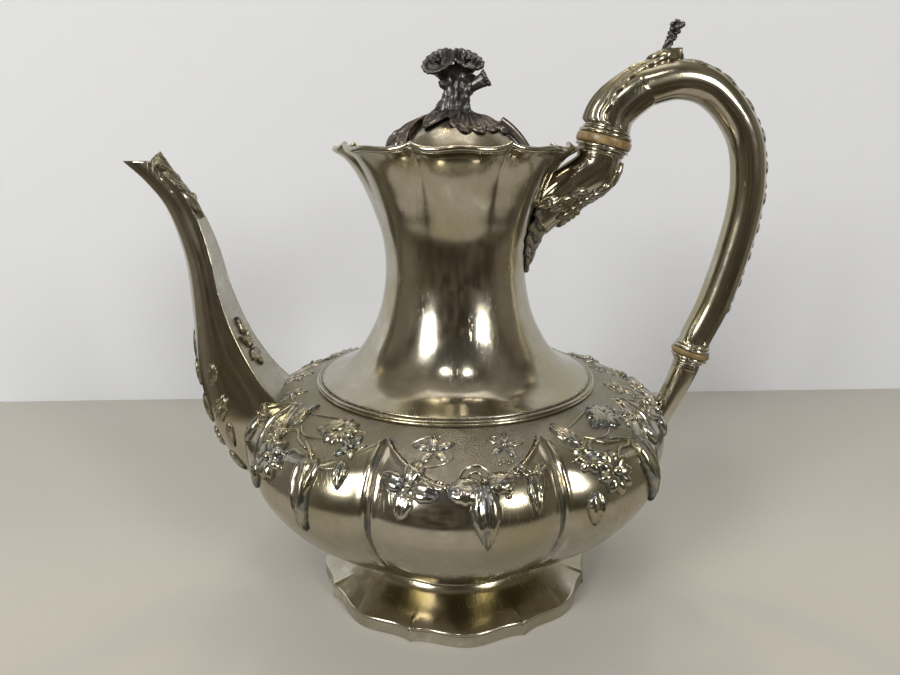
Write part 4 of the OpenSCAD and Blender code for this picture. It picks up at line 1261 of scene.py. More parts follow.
UPPER_TILT, LOWER_TILT = 14.0, 15.5
upper_at, upper_out, upper_up = joint_frame("upper_insulator", UPPER_TILT)
lower_at, lower_out, lower_up = joint_frame("lower_insulator", LOWER_TILT)


def at_joint(grid, middle, out, up):
    side = np.cross(up, out)
    return middle + grid[..., :1] * out + grid[..., 1:2] * side + grid[..., 2:] * up


def moulded(name, joint, band_r, band, sleeve_r, sleeve, side, stands_for):
    """A collar: a half-round moulding at the bone, a groove, a fine bead, then the sleeve."""
    def arc(r, z, size, first, last, count=9):
        a = np.radians(np.linspace(first, last, count))
        return [[r + size * math.cos(q), z + size * math.sin(q)] for q in a]

    start = band / 2 + 0.05
    outline = [[sleeve_r - 1.6, start], [band_r - 1.2, start]]
    outline += arc(band_r - 1.0, start + 0.85, 0.85, -80, 85)
    outline += [[band_r - 1.9, start + 1.9]]
    outline += arc(sleeve_r + 0.35, start + 2.55, 0.55, -60, 70)
    outline += [[sleeve_r + 0.05, start + 3.3]]
    outline += [[sleeve_r, start + 3.6], [sleeve_r, sleeve - 0.4], [sleeve_r, sleeve],
        [sleeve_r - 1.6, sleeve]]
    outline = np.array(outline)
    outline[:, 1] *= side
    grid = at_joint(lathe(outline, 96), *joint)
    hollow = np.zeros(len(outline))
    hollow[[1, 11, 21]] = 0.95
    hollow[[2, 12, 22]] = 0.45
    shape = Shape()
    shape.skin(grid, hollow[:, None] + np.zeros(96))
    return make_piece(name, shape, POLISHED, "pot", stands_for)


def bone_ring(name, joint, band_r, band, sleeve, tenon_r, stands_for):
    """The insulator: a crowned ring with a tenon at each side, hidden in the sleeves."""
    a = np.linspace(-1, 1, 15)
    crown = [[band_r + 0.25 - 0.7 * v**4, v * band / 2] for v in a]
    outline = np.array([[tenon_r, -sleeve + 0.5], [tenon_r, -band / 2]] + crown
                       + [[tenon_r, band / 2], [tenon_r, sleeve - 0.5], [0.4, sleeve - 0.5],
                           [0.4, -sleeve + 0.5]])
    hollow = np.zeros(len(outline))
    hollow[[1, 2, 3, 15, 16, 17]] = [0.9, 0.8, 0.3, 0.3, 0.8, 0.9]
    shape = Shape()
    shape.skin(at_joint(lathe(outline, 96), *joint), hollow[:, None] + np.zeros(96))
    return make_piece(name, shape, BONE, "pot", stands_for)


UPPER = (upper_at, upper_out, upper_up)
LOWER = (lower_at, lower_out, lower_up)
UPPER_R, LOWER_R = 11.8, 8.6
UPPER_BAND, LOWER_BAND = 3.8, 2.6
UPPER_SLEEVE, LOWER_SLEEVE = 9, 8
UPPER_TENON_R, LOWER_TENON_R = 6.4, 4.0
UPPER_SLEEVE_R, LOWER_SLEEVE_R, SOCKET_SLEEVE_R = 9.6, 6.9, 6.1
moulded("upper_collar_low", UPPER, UPPER_R, UPPER_BAND, UPPER_SLEEVE_R, UPPER_SLEEVE, -1,
    ["upper_socket_collar"])
moulded("upper_collar_high", UPPER, UPPER_R, UPPER_BAND, UPPER_SLEEVE_R, UPPER_SLEEVE, 1,
    ["upper_handle_collar"])
moulded("lower_collar_high", LOWER, LOWER_R, LOWER_BAND, LOWER_SLEEVE_R, LOWER_SLEEVE, 1,
    ["lower_handle_collar"])
moulded("lower_collar_low", LOWER, LOWER_R, LOWER_BAND, SOCKET_SLEEVE_R, LOWER_SLEEVE, -1,
    ["lower_socket_collar"])
bone_ring("upper_bone", UPPER, UPPER_R, UPPER_BAND, UPPER_SLEEVE, UPPER_TENON_R, ["upper_insulator"])
bone_ring("lower_bone", LOWER, LOWER_R, LOWER_BAND, LOWER_SLEEVE, LOWER_TENON_R, ["lower_insulator"])

# %% [markdown]
# The tube follows one smooth middle line. Round every point of that line goes a ring of
# points, turned so that angle 0 always faces outward. Leaf, sprig and vine are laid on the
# tube with the same angle, so they stay on its back all the way down.


# %% Handle tube
def along(tilt, d):
    return np.array([d * math.sin(math.radians(tilt)), d * math.cos(math.radians(tilt))])


def flat(point):
    return np.array([point[0], point[2]])


HANDLE_SHAPE = [
    [0.15, 1.15], [0.36, 1.235], [0.655, 1.265], [0.95, 1.23], [1.2, 1.12], [1.35, 0.99],
    [1.405, 0.83], [1.4, 0.7], [1.355, 0.56], [1.28, 0.4], [1.18, 0.235],
]
u_at, l_at = flat(upper_at), flat(lower_at)


def bend(start, way, end, end_way, pull=5.5, steps=7):
    """A soft bend between two points, given the way the line runs at each."""
    start, end = np.array(start), np.array(end)
    a, b = start + pull * unit(np.array(way)), end - pull * unit(np.array(end_way))
    u = np.linspace(0, 1, steps, endpoint=False)[:, None]
    return (1 - u) ** 3 * start + 3 * (1 - u) ** 2 * u * a + 3 * (1 - u) * u**2 * b + u**3 * end


shape_points = [[between(u_at[0], l_at[0], x), between(l_at[1], u_at[1], y)] for x, y in HANDLE_SHAPE]
first_bend = bend(u_at + along(UPPER_TILT, 9.0), along(UPPER_TILT, 1), shape_points[1], [0.87, 0.5])
handle_line = smooth_curve(
    [u_at + along(UPPER_TILT, 5.3), u_at + along(UPPER_TILT, 7.2)] + list(first_bend) + shape_points[1:]
    + [l_at + along(LOWER_TILT, 8.4), l_at + along(LOWER_TILT, 4.7)],
    12,
)
arm_bend = bend(u_at - along(UPPER_TILT, 8.6), -along(UPPER_TILT, 1), u_at + [-15, -19.5], [-0.76, -0.64])
socket_line = smooth_curve(
    [u_at - along(UPPER_TILT, 5.3), u_at - along(UPPER_TILT, 7.0)] + list(arm_bend)
    + [u_at + [-15, -19.5], u_at + [-22, -25.2], u_at + [-30, -31.5]],
    12,
)
low_socket_line = smooth_curve(
    [l_at - along(LOWER_TILT, 4.7), l_at - along(LOWER_TILT, 9.0), l_at + [-7, -20], l_at + [-13, -33],
        l_at + [-19, -46]], 14
)
HANDLE_RADII = [9.78, 8.5, 7.5, 7.5, 7.5, 7.5, 7.0]


class Pipe:
    """A tube along a line in the plane of spout and handle."""

    def __init__(self, line, radii):
        self.line = line
        self.way = unit(np.gradient(line, axis=0))
        self.s = arc_lengths(line)
        share = np.linspace(0, 1, len(radii))
        self.r = np.interp(self.s / self.s[-1], share, radii)
        smooth = np.ones(15) / 15
        padded = np.pad(self.r, 7, mode="edge")
        self.r = np.convolve(padded, smooth, "valid")

    def at(self, s, degrees, height):
        """s along the line, degrees round it with 0 outward, height above the skin."""
        x, z = np.interp(s, self.s, self.line[:, 0]), np.interp(s, self.s, self.line[:, 1])
        wx, wz = np.interp(s, self.s, self.way[:, 0]), np.interp(s, self.s, self.way[:, 1])
        r = np.interp(s, self.s, self.r) + height
        a = np.radians(degrees)
        return np.stack([x - wz * r * np.cos(a), r * np.sin(a), z + wx * r * np.cos(a)], -1)

    def put(self, s0, degrees0, heading=0.0):
        """Lays a flat drawing on the tube: x along the heading, y across it."""
        def place(x, y, h):
            onward, aside = turned(x, y, heading)
            s = s0 + onward
            return self.at(s, degrees0 + np.degrees(aside / np.interp(s, self.s, self.r)), h)

        return place

    def build(self, name, wall, stands_for, finish=None, steps=56, bulge=None):
        s, a = np.meshgrid(self.s, np.arange(steps) * 360 / steps, indexing="ij")
        lift = 0 * s if bulge is None else bulge(s, a)
        outer, inner = self.at(s, a, lift), self.at(s, a, -wall)[::-2]
        shape = Shape()
        end = 0.6 * bell(s, 0.8) + 0.6 * bell(s - self.s[-1], 0.8)
        shape.skin(np.concatenate([outer, inner]), np.concatenate([end, np.zeros(inner.shape[:2])]))
        return make_piece(name, shape, finish or POLISHED, "pot", stands_for)


handle = Pipe(handle_line, HANDLE_RADII)
handle.build("handle_pipe", SHEET, ["handle_tube"])
print("the handle's middle line is", round(handle.s[-1]), "mm long")

# %% [markdown]
# The acanthus leaf starts broad at the upper collar, wraps over the tube and narrows to the
# thumb rest, where it lifts off. Its edge is cut in lobes, each with a rib that runs back to
# the midrib. A dark beaded sprig stands up from its end.


# %% Thumb leaf, sprig and vine
LEAF_LONG = 38.0


def build_thumb_leaf():
    x = down(0, 1, 90)
    v = over(-1, 1, 37)
    wave = 0.5 + 0.5 * np.cos(2 * np.pi * 5.5 * x)
    half = between(20, 84, 1 - x**0.9) * (0.90 + 0.10 * wave) * (1 - 0.6 * ease((x - 0.86) / 0.14))
    s = 0.6 + LEAF_LONG * x + 0 * v
    body = (1 - np.abs(v) ** 10) * ease(x / 0.05 + 0.35)
    rise = 1.2 + 2.8 * ease((x - 0.5) / 0.5) ** 2
    rib = np.cos(2 * np.pi * (4.2 * np.abs(v) ** 0.85 + 0.7 * x))
    rim = bell(np.abs(v) - 0.90, 0.07) * (0.35 + 0.55 * wave)
    height = SUNK + (rise - SUNK + 0.42 * rib * (np.abs(v) < 0.8) + rim + 0.5 * bell(v, 0.05)) * body
    hollow = np.clip(0.55 * (1 - body) + 0.8 * ease((-rib - 0.2) / 0.7) * (np.abs(v) < 0.8) - 0.6 * rim, 0, 1)
    degrees = half * v
    shape = Shape()
    top = handle.at(s, degrees, height)
    bottom = handle.at(s, degrees, SUNK - 0.5 * body)
    shape.pad(top, bottom, hollow)
    for side in (-1, 1):                         # tips that curl up at the thumb rest
        leaf(shape, handle.put(LEAF_LONG - 11, 10 * side, 5 * side), 9, 1.9, 4.0, veins=3, rows=16, cols=11)
    leaf(shape, handle.put(LEAF_LONG - 9, 0), 10.5, 1.8, 4.6, veins=3, rows=16, cols=11)
    make_piece("acanthus_leaf", shape, CAST, "pot", ["thumb_leaf"])


def build_sprig():
    low, high = box_mm("thumb_sprig")
    root = np.array([low[0] + 1.2, 0, low[2] - 0.6])
    top = np.array([high[0] - 1.2, 0, high[2] + 0.2])
    long = np.linalg.norm(top - root)
    up = (top - root) / long
    side = np.array([0, 1.0, 0])
    front = np.cross(side, up)
    shape = Shape()
    rng = np.random.default_rng(3)

    def ball(centre, size, stretch=1.0):
        q = down(0.02, np.pi - 0.02, 8)
        a = circle(12)[None, :]
        wob = 1 + 0.12 * np.sin(3 * a + 5 * q)
        grid = centre + size * wob[..., None] * (
            np.sin(q)[..., None] * np.cos(a)[..., None] * front + np.sin(q)[..., None]
                * np.sin(a)[..., None] * side
        ) + size * stretch * (np.cos(q)[..., None] + 0 * a[..., None]) * up
        shape.tube(grid, 0.55 * (1 - np.sin(q)) + 0.25 + 0 * a)

    for strand in range(3):
        turn = 2 * np.pi * strand / 3
        x = np.linspace(0, 1, 16)
        swing = 0.85 * np.stack([np.cos(turn + 5 * x), np.sin(turn + 5 * x)], -1)
        line = root + long * 0.96 * x[:, None] * up + swing[:, :1] * front + swing[:, 1:] * side
        a = circle(8)
        size = (0.95 - 0.3 * x)[:, None, None]
        rings = line[:, None] + size * (np.cos(a)[:, None] * front + np.sin(a)[:, None] * side)
        shape.tube(rings, 0.35 + 0.3 * np.cos(a)[None, :] + 0 * x[:, None])
    for k in range(22):
        x = 0.32 + 0.68 * k / 21
        turn = 2.4 * k
        out = 1.2 + 0.9 * x * x
        centre = root + long * x * up + out * (math.cos(turn) * front + math.sin(turn) * side)
        ball(centre, rng.uniform(0.75, 1.05) * (0.8 + 0.4 * x))
    ball(root + long * 1.0 * up, 0.9, 1.3)
    make_piece("beaded_sprig", shape, BLACKENED, "pot", ["thumb_sprig"])


def build_vine():
    shape = Shape()
    rng = np.random.default_rng(11)
    start, end = LEAF_LONG + 3, handle.s[-1] - 16
    count = int((end - start) / 6.2)
    for k in range(count):
        s = start + 6.2 * k
        side = 1 if k % 2 else -1
        size = 1.0 - 0.35 * k / count
        leaf(shape, handle.put(s, 3 * side, 34 * side), 7.6 * size, 2.0 * size, 0.7, veins=3, rows=13, cols=9)
        leaf(shape, handle.put(s + 3, 4 * side, -58 * side), 4.6 * size, 1.5 * size, 0.6, veins=2, rows=10,
            cols=9)
        for j in range(3):
            boss(shape, handle.put(s + 1.5 + 1.5 * j, -side * (7 + 6 * j) + rng.uniform(-2, 2)), 0.62 * size,
                0.5)
    x = np.linspace(start - 2, end, 260)
    a = circle(8)[None, :]
    mid = 5.5 * np.sin(x * 2 * np.pi / 12.4)[:, None]
    rings = handle.at(x[:, None] + 0 * a, mid + np.degrees(0.6 * np.cos(a) / 7.5), 0.05 + 0.5 * np.sin(a))
    shape.tube(rings, np.clip(0.4 - 0.8 * np.sin(a), 0, 0.9) + 0 * x[:, None])
    make_piece("beaded_vine", shape, CAST, "pot", ["handle_vine"])


build_thumb_leaf()
build_sprig()
build_vine()

# %% [markdown]
# The upper socket is a short curved arm. Its lower side is covered by cast foliage that
# runs down and spreads on the neck like a fan. The lower socket is a plain tube that runs
# into the bowl's shoulder.


# %% Sockets and their foliage
def build_sockets():
    arm = Pipe(socket_line, [9.75, 9.5, 9.2, 9.6, 10.5])
    arm.build("upper_arm", SHEET, ["upper_socket"])
    low_arm = Pipe(low_socket_line, [6.2, 5.6, 5.2, 5.0])
    low_arm.build("lower_arm", SHEET, ["lower_socket"], steps=40)
    return arm


def on_plate(x, y, h):
    """x runs up the neck's side from the plate's low end, y across it, h out from the neck."""
    z = WAIST_Z - 3 + x
    r = neck_r_at(z)
    rise = 13 * np.clip(x / 35, 0, 1) ** 1.3 * np.clip(np.cos(np.radians(80 * np.clip(y / 13, -1, 1))), 0,
        1) ** 2
    t = y / r
    q = r + rise + h
    return polar(q, t, z + 0 * t)


def build_foliage(arm):
    shape = Shape()
    rows, cols = 60, 45
    x = down(0, 1, rows)
    v = over(-1, 1, cols)
    half = 13.5 * (0.22 + 0.78 * np.sin(np.radians(20 + 130 * x))) * (1 + 0.10
        * np.sin(2 * np.pi * 6 * x - 2 * np.abs(v)))
    body = 1 - np.abs(v) ** 8
    rib = np.cos(2 * np.pi * (7 * x - 2.4 * np.abs(v)))
    fine = np.sin(2 * np.pi * (26 * x + 3 * v)) * np.sin(2 * np.pi * 8 * v)
    height = 0.3 + 0.9 * body + 0.42 * rib * body + 0.16 * fine * body + 0.5 * bell(v, 0.08)
    hollow = np.clip(0.25 + 0.6 * ease((-rib) / 0.8) + 0.3 * (fine < -0.3) + 0.5 * (1 - body), 0, 1)
    px, py = 35 * x + 0 * v, half * v
    shape.pad(on_plate(px, py, height), on_plate(px, py, 0.05 + 0 * px), hollow)

    def plate_put(x0, y0, heading):
        def put(x, y, h):
            up, aside = turned(x, y, heading)
            return on_plate(x0 + up, y0 + aside, h + 0.9)

        return put

    for k in range(6):
        for side in (-1, 1):
            leaf(shape, plate_put(3 + 5.2 * k, side * (0.8 + 0.5 * k), side * (38 - 2 * k)), 8.5, 2.3, 1.5,
                 veins=3, rows=14, cols=9)
    for k in range(5):
        leaf(shape, plate_put(2 + 6.0 * k, 0, 0), 9, 2.2, 1.9, veins=3, rows=14, cols=9)
    # granular leaves along the lower side of the arm
    for k in range(7):
        s = 1.5 + 4.1 * k
        for side in (-1, 1):
            leaf(shape, arm.put(s, side * (10 + 3 * k), 28 * side), 8.4, 2.7, 1.9, veins=4, rows=14, cols=11)
            boss(shape, arm.put(s + 3.0, side * (34 + 5 * k)), 1.0, 1.4)
        leaf(shape, arm.put(s, 0), 8.5, 2.4, 2.3, veins=3, rows=14, cols=9)
    for side in (-1, 1):
        leaf(shape, arm.put(22, side * 62, 18 * side), 13, 3.6, 1.8, veins=5)
        leaf(shape, arm.put(27, side * 95, 12 * side), 11, 3.2, 1.7, veins=5)
        leaf(shape, arm.put(15, side * 52, 30 * side), 10, 2.9, 1.7, veins=4)
    for k in range(3):
        boss(shape, arm.put(24 + 2.2 * k, 6 * (k - 1)), 2.2, 3.2)
    make_piece("arm_foliage", shape, CAST, "pot", ["upper_socket_foliage"])


arm = build_sockets()
build_foliage(arm)

# %% [markdown]
# ## The lid
#
# The lid is a raised dome that sits inside the neck on a ledge, on a hinge by the handle.
# Its dome is one turned sheet. The hinge parts, the ledge and the nut stay as the CAD made
# them and only get a finish.

# %% Lid dome and the kept CAD parts
dome_low, dome_high = box_mm("lid_dome")
DOME_BASE_R = dome_high[0]
DOME_RISE = dome_high[2] - dome_low[2]
DOME_R = (DOME_BASE_R**2 + DOME_RISE**2) / (2 * DOME_RISE)
DOME_MID_Z = dome_high[2] - DOME_R
TOP_Z = dome_high[2]
STUD_HOLE_R = 1.55


def build_dome():
    last = math.acos((dome_low[2] - DOME_MID_Z) / DOME_R)
    q = np.linspace(STUD_HOLE_R / DOME_R, last, 70)
    outer = np.stack([DOME_R * np.sin(q), DOME_MID_Z + DOME_R * np.cos(q)], -1)
    inner_r = DOME_R - SHEET
    q = np.linspace(math.acos((dome_low[2] - DOME_MID_Z) / inner_r), STUD_HOLE_R / inner_r, 24)
    inner = np.stack([inner_r * np.sin(q), DOME_MID_Z + inner_r * np.cos(q)], -1)
    outline = np.concatenate([outer, inner])
    shape = Shape()
    near_stem = np.clip(1.2 - outline[:, 0] / 9, 0, 0.8)
    shape.skin(lathe(outline, 160), near_stem[:, None] + np.zeros(160))
    make_piece("lid_cover", shape, CAST, "lid", ["lid_dome"])


def finish_cad_part(node, finish):
    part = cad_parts[node]
    part.data.materials.clear()
    part.data.materials.append(finish)


build_dome()
for node in ("lid_seat", "hinge_bracket", "hinge_pin", "lid_hinge_leaf", "finial_nut", "lid_flange",
    "handle_pins"):
    finish_cad_part(node, POLISHED)
finish_cad_part("finial_stud", BLACKENED)

# %% [markdown]
# Everything on the dome is laid along its sphere: a distance from the pole, sideways, and a
# height above the skin. So a leaf keeps its width and hugs the dome wherever it lies.


# %% The leaves of the finial
def on_dome(turn, lift=0.0):
    def place(x, y, h):
        px, py = turned(x, y, turn)
        far = np.maximum(np.hypot(px, py), 1e-6)
        q, r = far / DOME_R, DOME_R + h + lift
        return np.stack([r * np.sin(q) * px / far, r * np.sin(q) * py / far, DOME_MID_Z + r * np.cos(q)], -1)

    return place


def fan_leaf(shape, put, start, end, wide, lobes, ribs, lift, ruffle=0.6, seed=0, twist=0.0):
    """A broad leaf whose ribs fan out from its foot to a scalloped, ruffled edge."""
    rng = np.random.default_rng(seed)
    x = down(0, 1, 46)
    v = over(-1, 1, 61)
    spread_ = np.radians(wide) * v
    scallop = 0.86 + 0.14 * np.abs(np.cos(np.pi * lobes * v / 2)) ** 0.6
    heart = 1 - 0.28 * np.abs(v) ** 3
    far = (end - start) * x * scallop * heart
    px = start + far * np.cos(spread_)
    py = far * np.sin(spread_) * (0.55 + 0.45 * x) + twist * x * x
    body = (1 - np.abs(v) ** 10) * (1 - x**14)
    rib = np.cos(np.pi * ribs * v) * (0.25 + 0.75 * x)
    wave = ruffle * x**2.2 * np.cos(np.pi * lobes * v + rng.uniform(0, 6))
    lump = 0.25 * np.sin(9 * x + rng.uniform(0, 6)) * np.cos(7 * v + rng.uniform(0, 6))
    curl = 2.6 * x * (1 - x)
    edge = bell(np.maximum(x - 0.93, 0) + np.maximum(0.9 - x, 0), 0.05) + bell(np.abs(v) - 0.93, 0.06) * x
    height = lift + curl + wave + lump + 0.38 * rib * body + 0.6 * edge
    hollow = np.clip(0.3 + 0.6 * ease(-rib) - 0.7 * edge, 0, 1)
    thick = 0.25 + 0.85 * body * (1 - 0.5 * x)
    shape.pad(put(px, py, height), put(px, py, np.maximum(height - 2.2 * thick, 0.02)), hollow)


def oval_leaf(shape, put, start, end, half, lift):
    """A small cupped leaf with a raised rim and a midrib."""
    x = down(0, 1, 36)
    v = over(-1, 1, 25)
    wide = half * np.sin(np.pi * (0.06 + 0.90 * x) ** 0.85) ** 0.8 + 0.25
    body = 1 - np.abs(v) ** 8
    rim = bell(np.abs(v) - 0.84, 0.14) * 0.75
    rib = 0.55 * bell(v, 0.1) + 0.14 * np.cos(2 * np.pi * (6 * x - 3 * np.abs(v)))
    height = lift + (0.35 + rim + rib + 1.0 * np.sin(np.pi * x)) * body
    hollow = np.clip(0.75 - 0.9 * rim - 1.1 * bell(v, 0.1), 0, 1)
    px, py = start + (end - start) * x + 0 * v, wide * v
    shape.pad(put(px, py, height), put(px, py, 0.05 + 0.5 * lift + 0 * px), hollow)


def build_leaves():
    shape = Shape()
    fan_leaf(shape, on_dome(-176), 8.0, 34.0, 30, 4, 7, 1.3, ruffle=1.1, seed=1, twist=3)
    fan_leaf(shape, on_dome(-152), 12.0, 35.0, 26, 3, 6, 1.4, ruffle=1.1, seed=8, twist=-2)
    oval_leaf(shape, on_dome(-128), 5.0, 22.0, 4.2, 1.0)
    oval_leaf(shape, on_dome(-100), 5.0, 14.0, 3.0, 0.8)
    fan_leaf(shape, on_dome(-62), 3.5, 25.0, 44, 4, 9, 0.6, ruffle=0.35, seed=3, twist=-1)
    fan_leaf(shape, on_dome(-32), 6.0, 25.0, 34, 3, 7, 0.9, ruffle=0.4, seed=4, twist=2)
    fan_leaf(shape, on_dome(24), 5.0, 27.0, 34, 4, 8, 0.9, ruffle=0.7, seed=9)
    fan_leaf(shape, on_dome(84), 5.0, 29.0, 36, 4, 9, 0.9, ruffle=0.8, seed=5)
    fan_leaf(shape, on_dome(132), 5.0, 30.0, 36, 5, 9, 1.1, ruffle=0.9, seed=6)
    make_piece("finial_leaf_spray", shape, SOOTED, "lid", ["finial_leaves"])
    shape = Shape()
    x = down(0, 1, 44)
    a = circle(18)[None, :]
    size = (2.3 - 0.7 * x) * np.sqrt(np.clip(1 - ((x - 0.94) / 0.06) ** 2 * (x > 0.94), 0, 1))
    groove = 1 + 0.10 * np.cos(3 * a + 2 * x)
    put = on_dome(-14)
    shape.tube(put(19 + 18 * x + 0 * a, 1.5 * np.sin(3 * x) + size * groove * np.cos(a),
                   2.2 - 0.4 * x + size * groove * np.sin(a)), np.clip(0.45 - 0.5 * np.sin(a), 0, 1) + 0 * x)
    make_piece("finial_tendril_cast", shape, SOOTED, "lid", ["finial_tendril"])


build_leaves()

# %% [markdown]
# The stem was modelled in wax and cast, so it is lumpy: several stalks grow together at
# its foot and part again below the flowers. Each flower is a trumpet whose mouth opens into
# a ruffled edge and leans towards the front. The bud is a smaller trumpet on the right.


# %% Stem, flowers and bud
def stalk(shape, points, radii, seed, sides=20, lumps=0.16):
    rng = np.random.default_rng(seed)
    line = smooth_curve(points, 12)
    way = unit(np.gradient(line, axis=0))
    side = unit(np.cross(way, [0, 1.0, 0.01]))
    other = np.cross(way, side)
    share = np.linspace(0, 1, len(line))[:, None]
    a = circle(sides)[None, :]
    r = np.interp(share, np.linspace(0, 1, len(radii)), radii)
    k = rng.uniform(0, 6, 4)
    wob = 1 + lumps * (np.sin(3 * a + 5 * share + k[0]) + 0.6 * np.sin(5 * a - 11 * share + k[1])
        * np.sin(9 * share + k[2]))
    wob = wob + lumps * 0.5 * np.sin(23 * share + k[3])
    ring = (r * wob)[..., None] * (np.cos(a)[..., None] * side[:, None] + np.sin(a)[..., None]
        * other[:, None])
    hollow = np.clip(0.5 - 1.6 * (wob - 1) / max(lumps, 0.05) * 0.3, 0, 1)
    shape.tube(line[:, None] + ring, hollow)


def trumpet(shape, root, aim, long, root_r, mouth_r, petals, ruffle, seed, depth=0.55, stamens=7):
    """A flower: outside from its root to the mouth, a ruffled edge, and the inside back down."""
    rng = np.random.default_rng(seed)
    aim = unit(np.array(aim, float))
    side = unit(np.cross(aim, [0.0, -0.3, 1.0]))
    other = np.cross(side, aim)
    out = np.linspace(0, 1, 26)
    back = np.linspace(1, depth, 16)
    share = np.concatenate([out, back])[:, None]
    inside = np.concatenate([np.zeros(26), np.ones(16)])[:, None]
    a = circle(96)[None, :]
    k = rng.uniform(0, 6, 3)
    grow = root_r + (mouth_r - root_r) * share ** 2.1
    edge = 1 + ruffle * share**3 * (0.7 * np.cos(petals * a + k[0]) + 0.3
        * np.cos(2 * petals * a + k[1] + 2 * share))
    ribs = 0.18 * np.cos(3 * petals * a + k[2]) * share * (0.5 + inside)
    r = np.maximum(grow * edge + ribs - 0.75 * inside * (share < 0.985) - 1.2 * inside * (1 - share), 0.15)
    z = long * share + ruffle * 3.0 * share**4 * np.cos(petals * a + k[0] + 1.0) - 0.6 * inside * (1 - share)
    z = z - 1.3 * np.maximum(share - 0.86, 0) / 0.14 * (1 - inside)
    grid = (
        np.array(root, float)
        + (r * np.cos(a))[..., None] * side
        + (r * np.sin(a))[..., None] * other
        + (z + 0 * a)[..., None] * aim
    )
    hollow = np.clip(0.35 - 0.35 * np.cos(petals * a + k[0]) * share - 0.6 * bell(1 - share, 0.05) + 0.3
        * inside, 0, 1)
    shape.tube(grid, hollow + 0 * share)
    for j in range(stamens):                    # a few stamens in the throat
        t = 2 * np.pi * j / 7 + k[1]
        base = np.array(root) + aim * long * (depth + 0.02)
        tip = base + aim * long * 0.30 + 0.30 * mouth_r * (math.cos(t) * side + math.sin(t) * other)
        stalk(shape, [base, (base + tip) / 2, tip], [0.5, 0.42, 0.62], seed + j, sides=8, lumps=0.0)


def build_finial():
    z = TOP_Z
    shape = Shape()
    stalk(shape, [[0.2, 0, z - 1.5], [0.0, 0, z + 2], [-0.2, -0.2, z + 7], [-0.6, -0.2, z + 12],
        [-0.8, 0.4, z + 19.0]],
          [9.4, 6.2, 4.3, 4.0, 5.4], 1, sides=32, lumps=0.09)
    stalk(shape, [[-9.0, -1.6, z - 3.4], [-4.6, -1.4, z + 3], [-2.8, -1.4, z + 9], [-4.6, -1.6, z + 14]],
          [3.6, 3.0, 2.5, 3.2], 2)
    stalk(shape, [[2.4, -0.6, z + 1], [2.2, -0.6, z + 8], [2.8, -0.8, z + 13], [4.4, -1.0, z + 17]],
          [3.4, 3.0, 3.0, 4.0], 3)
    stalk(shape, [[2.4, -1.2, z + 2], [3.0, -1.6, z + 7], [5.2, -1.8, z + 10.4], [8.0, -2.0, z + 12.2]],
          [3.6, 3.3, 3.0, 2.4], 4, lumps=0.07)
    stalk(shape, [[-1.0, -4.6, z + 0], [-0.6, -4.4, z + 6], [0.4, -3.8, z + 13]], [2.2, 1.6, 1.4], 5)
    stalk(shape, [[-6.5, -2.0, z - 1.6], [-4.6, -2.4, z + 2.5], [-3.6, -2.6, z + 8]], [2.2, 2.0, 1.6], 6)
    stalk(shape, [[5.6, -3.0, z - 1.4], [4.2, -2.8, z + 2.0], [3.2, -2.4, z + 8]], [2.0, 1.9, 1.5], 7)
    make_piece("finial_stem_cast", shape, BLACKENED, "lid", ["finial_stem"])
    shape = Shape()
    trumpet(shape, [-2.8, 2.2, z + 12.8], [-0.42, -0.60, 0.74], 11.6, 2.6, 7.2, 15, 0.045, 21, depth=0.80)
    trumpet(shape, [1.6, 3.0, z + 13.2], [0.30, -0.52, 0.80], 11.2, 3.0, 7.2, 14, 0.05, 22, depth=0.76)
    make_piece("finial_blossoms", shape, BLACKENED, "lid", ["finial_flowers"])
    shape = Shape()
    trumpet(shape, [4.0, -2.0, z + 9.4], [0.86, -0.16, 0.48], 10.6, 2.1, 3.4, 5, 0.05, 23, depth=0.72,
        stamens=0)
    make_piece("finial_small_bud", shape, BLACKENED, "lid", ["finial_bud"])


build_finial()

# %% [markdown]
# ## Room, table and camera
#
# Polished silver shows the room more than itself. The pot stands on a pale table before a
# pale wall. Two windows lie behind the camera, left and right, with a small bright strip
# above each. Two small warm lamps hang high behind the pot, and the ceiling glows a little.

# %% Table and wall
def plain_material(name, colour, see_through_back=False):
    material, tree, shader = new_material(name)
    shader.inputs["Base Color"].default_value = (*colour, 1)
    shader.inputs["Roughness"].default_value = 0.75
    if see_through_back:
        back = add_node(tree, "ShaderNodeNewGeometry").outputs["Backfacing"]
        mix, clear = add_node(tree, "ShaderNodeMixShader"), add_node(tree, "ShaderNodeBsdfTransparent")
        feed(tree, mix.inputs[0], back)
        tree.links.new(shader.outputs[0], mix.inputs[1])
        tree.links.new(clear.outputs[0], mix.inputs[2])
        tree.links.new(mix.outputs[0], tree.nodes["Material Output"].inputs["Surface"])
    return material


def flat_sheet(name, corners, material):
    mesh = bpy.data.meshes.new(name)
    mesh.from_pydata(corners, [], [list(range(len(corners)))])
    mesh.materials.append(material)
    sheet = bpy.data.objects.new(name, mesh)
    bpy.context.scene.collection.objects.link(sheet)
    return sheet


FAR_R, NEAR_R, WALL_Y = 1.5, 0.27, 0.245
TABLE = plain_material("pale_table", (0.50, 0.485, 0.445))


def disc(name, radius, z):
    turns = [2 * math.pi * k / 64 for k in range(64)]
    return flat_sheet(name, [(radius * math.cos(t), radius * math.sin(t), z) for t in turns], TABLE)


disc("table", NEAR_R, -0.0003)
disc("table_beyond", FAR_R, -0.0006).visible_glossy = False      # the silver shows the dark room there
flat_sheet("wall", [(-1.4, WALL_Y, -0.0003), (1.4, WALL_Y, -0.0003), (1.4, WALL_Y, 0.62),
    (-1.4, WALL_Y, 0.62)],
           plain_material("pale_wall", (0.68, 0.70, 0.735), see_through_back=True))
print("table and wall")


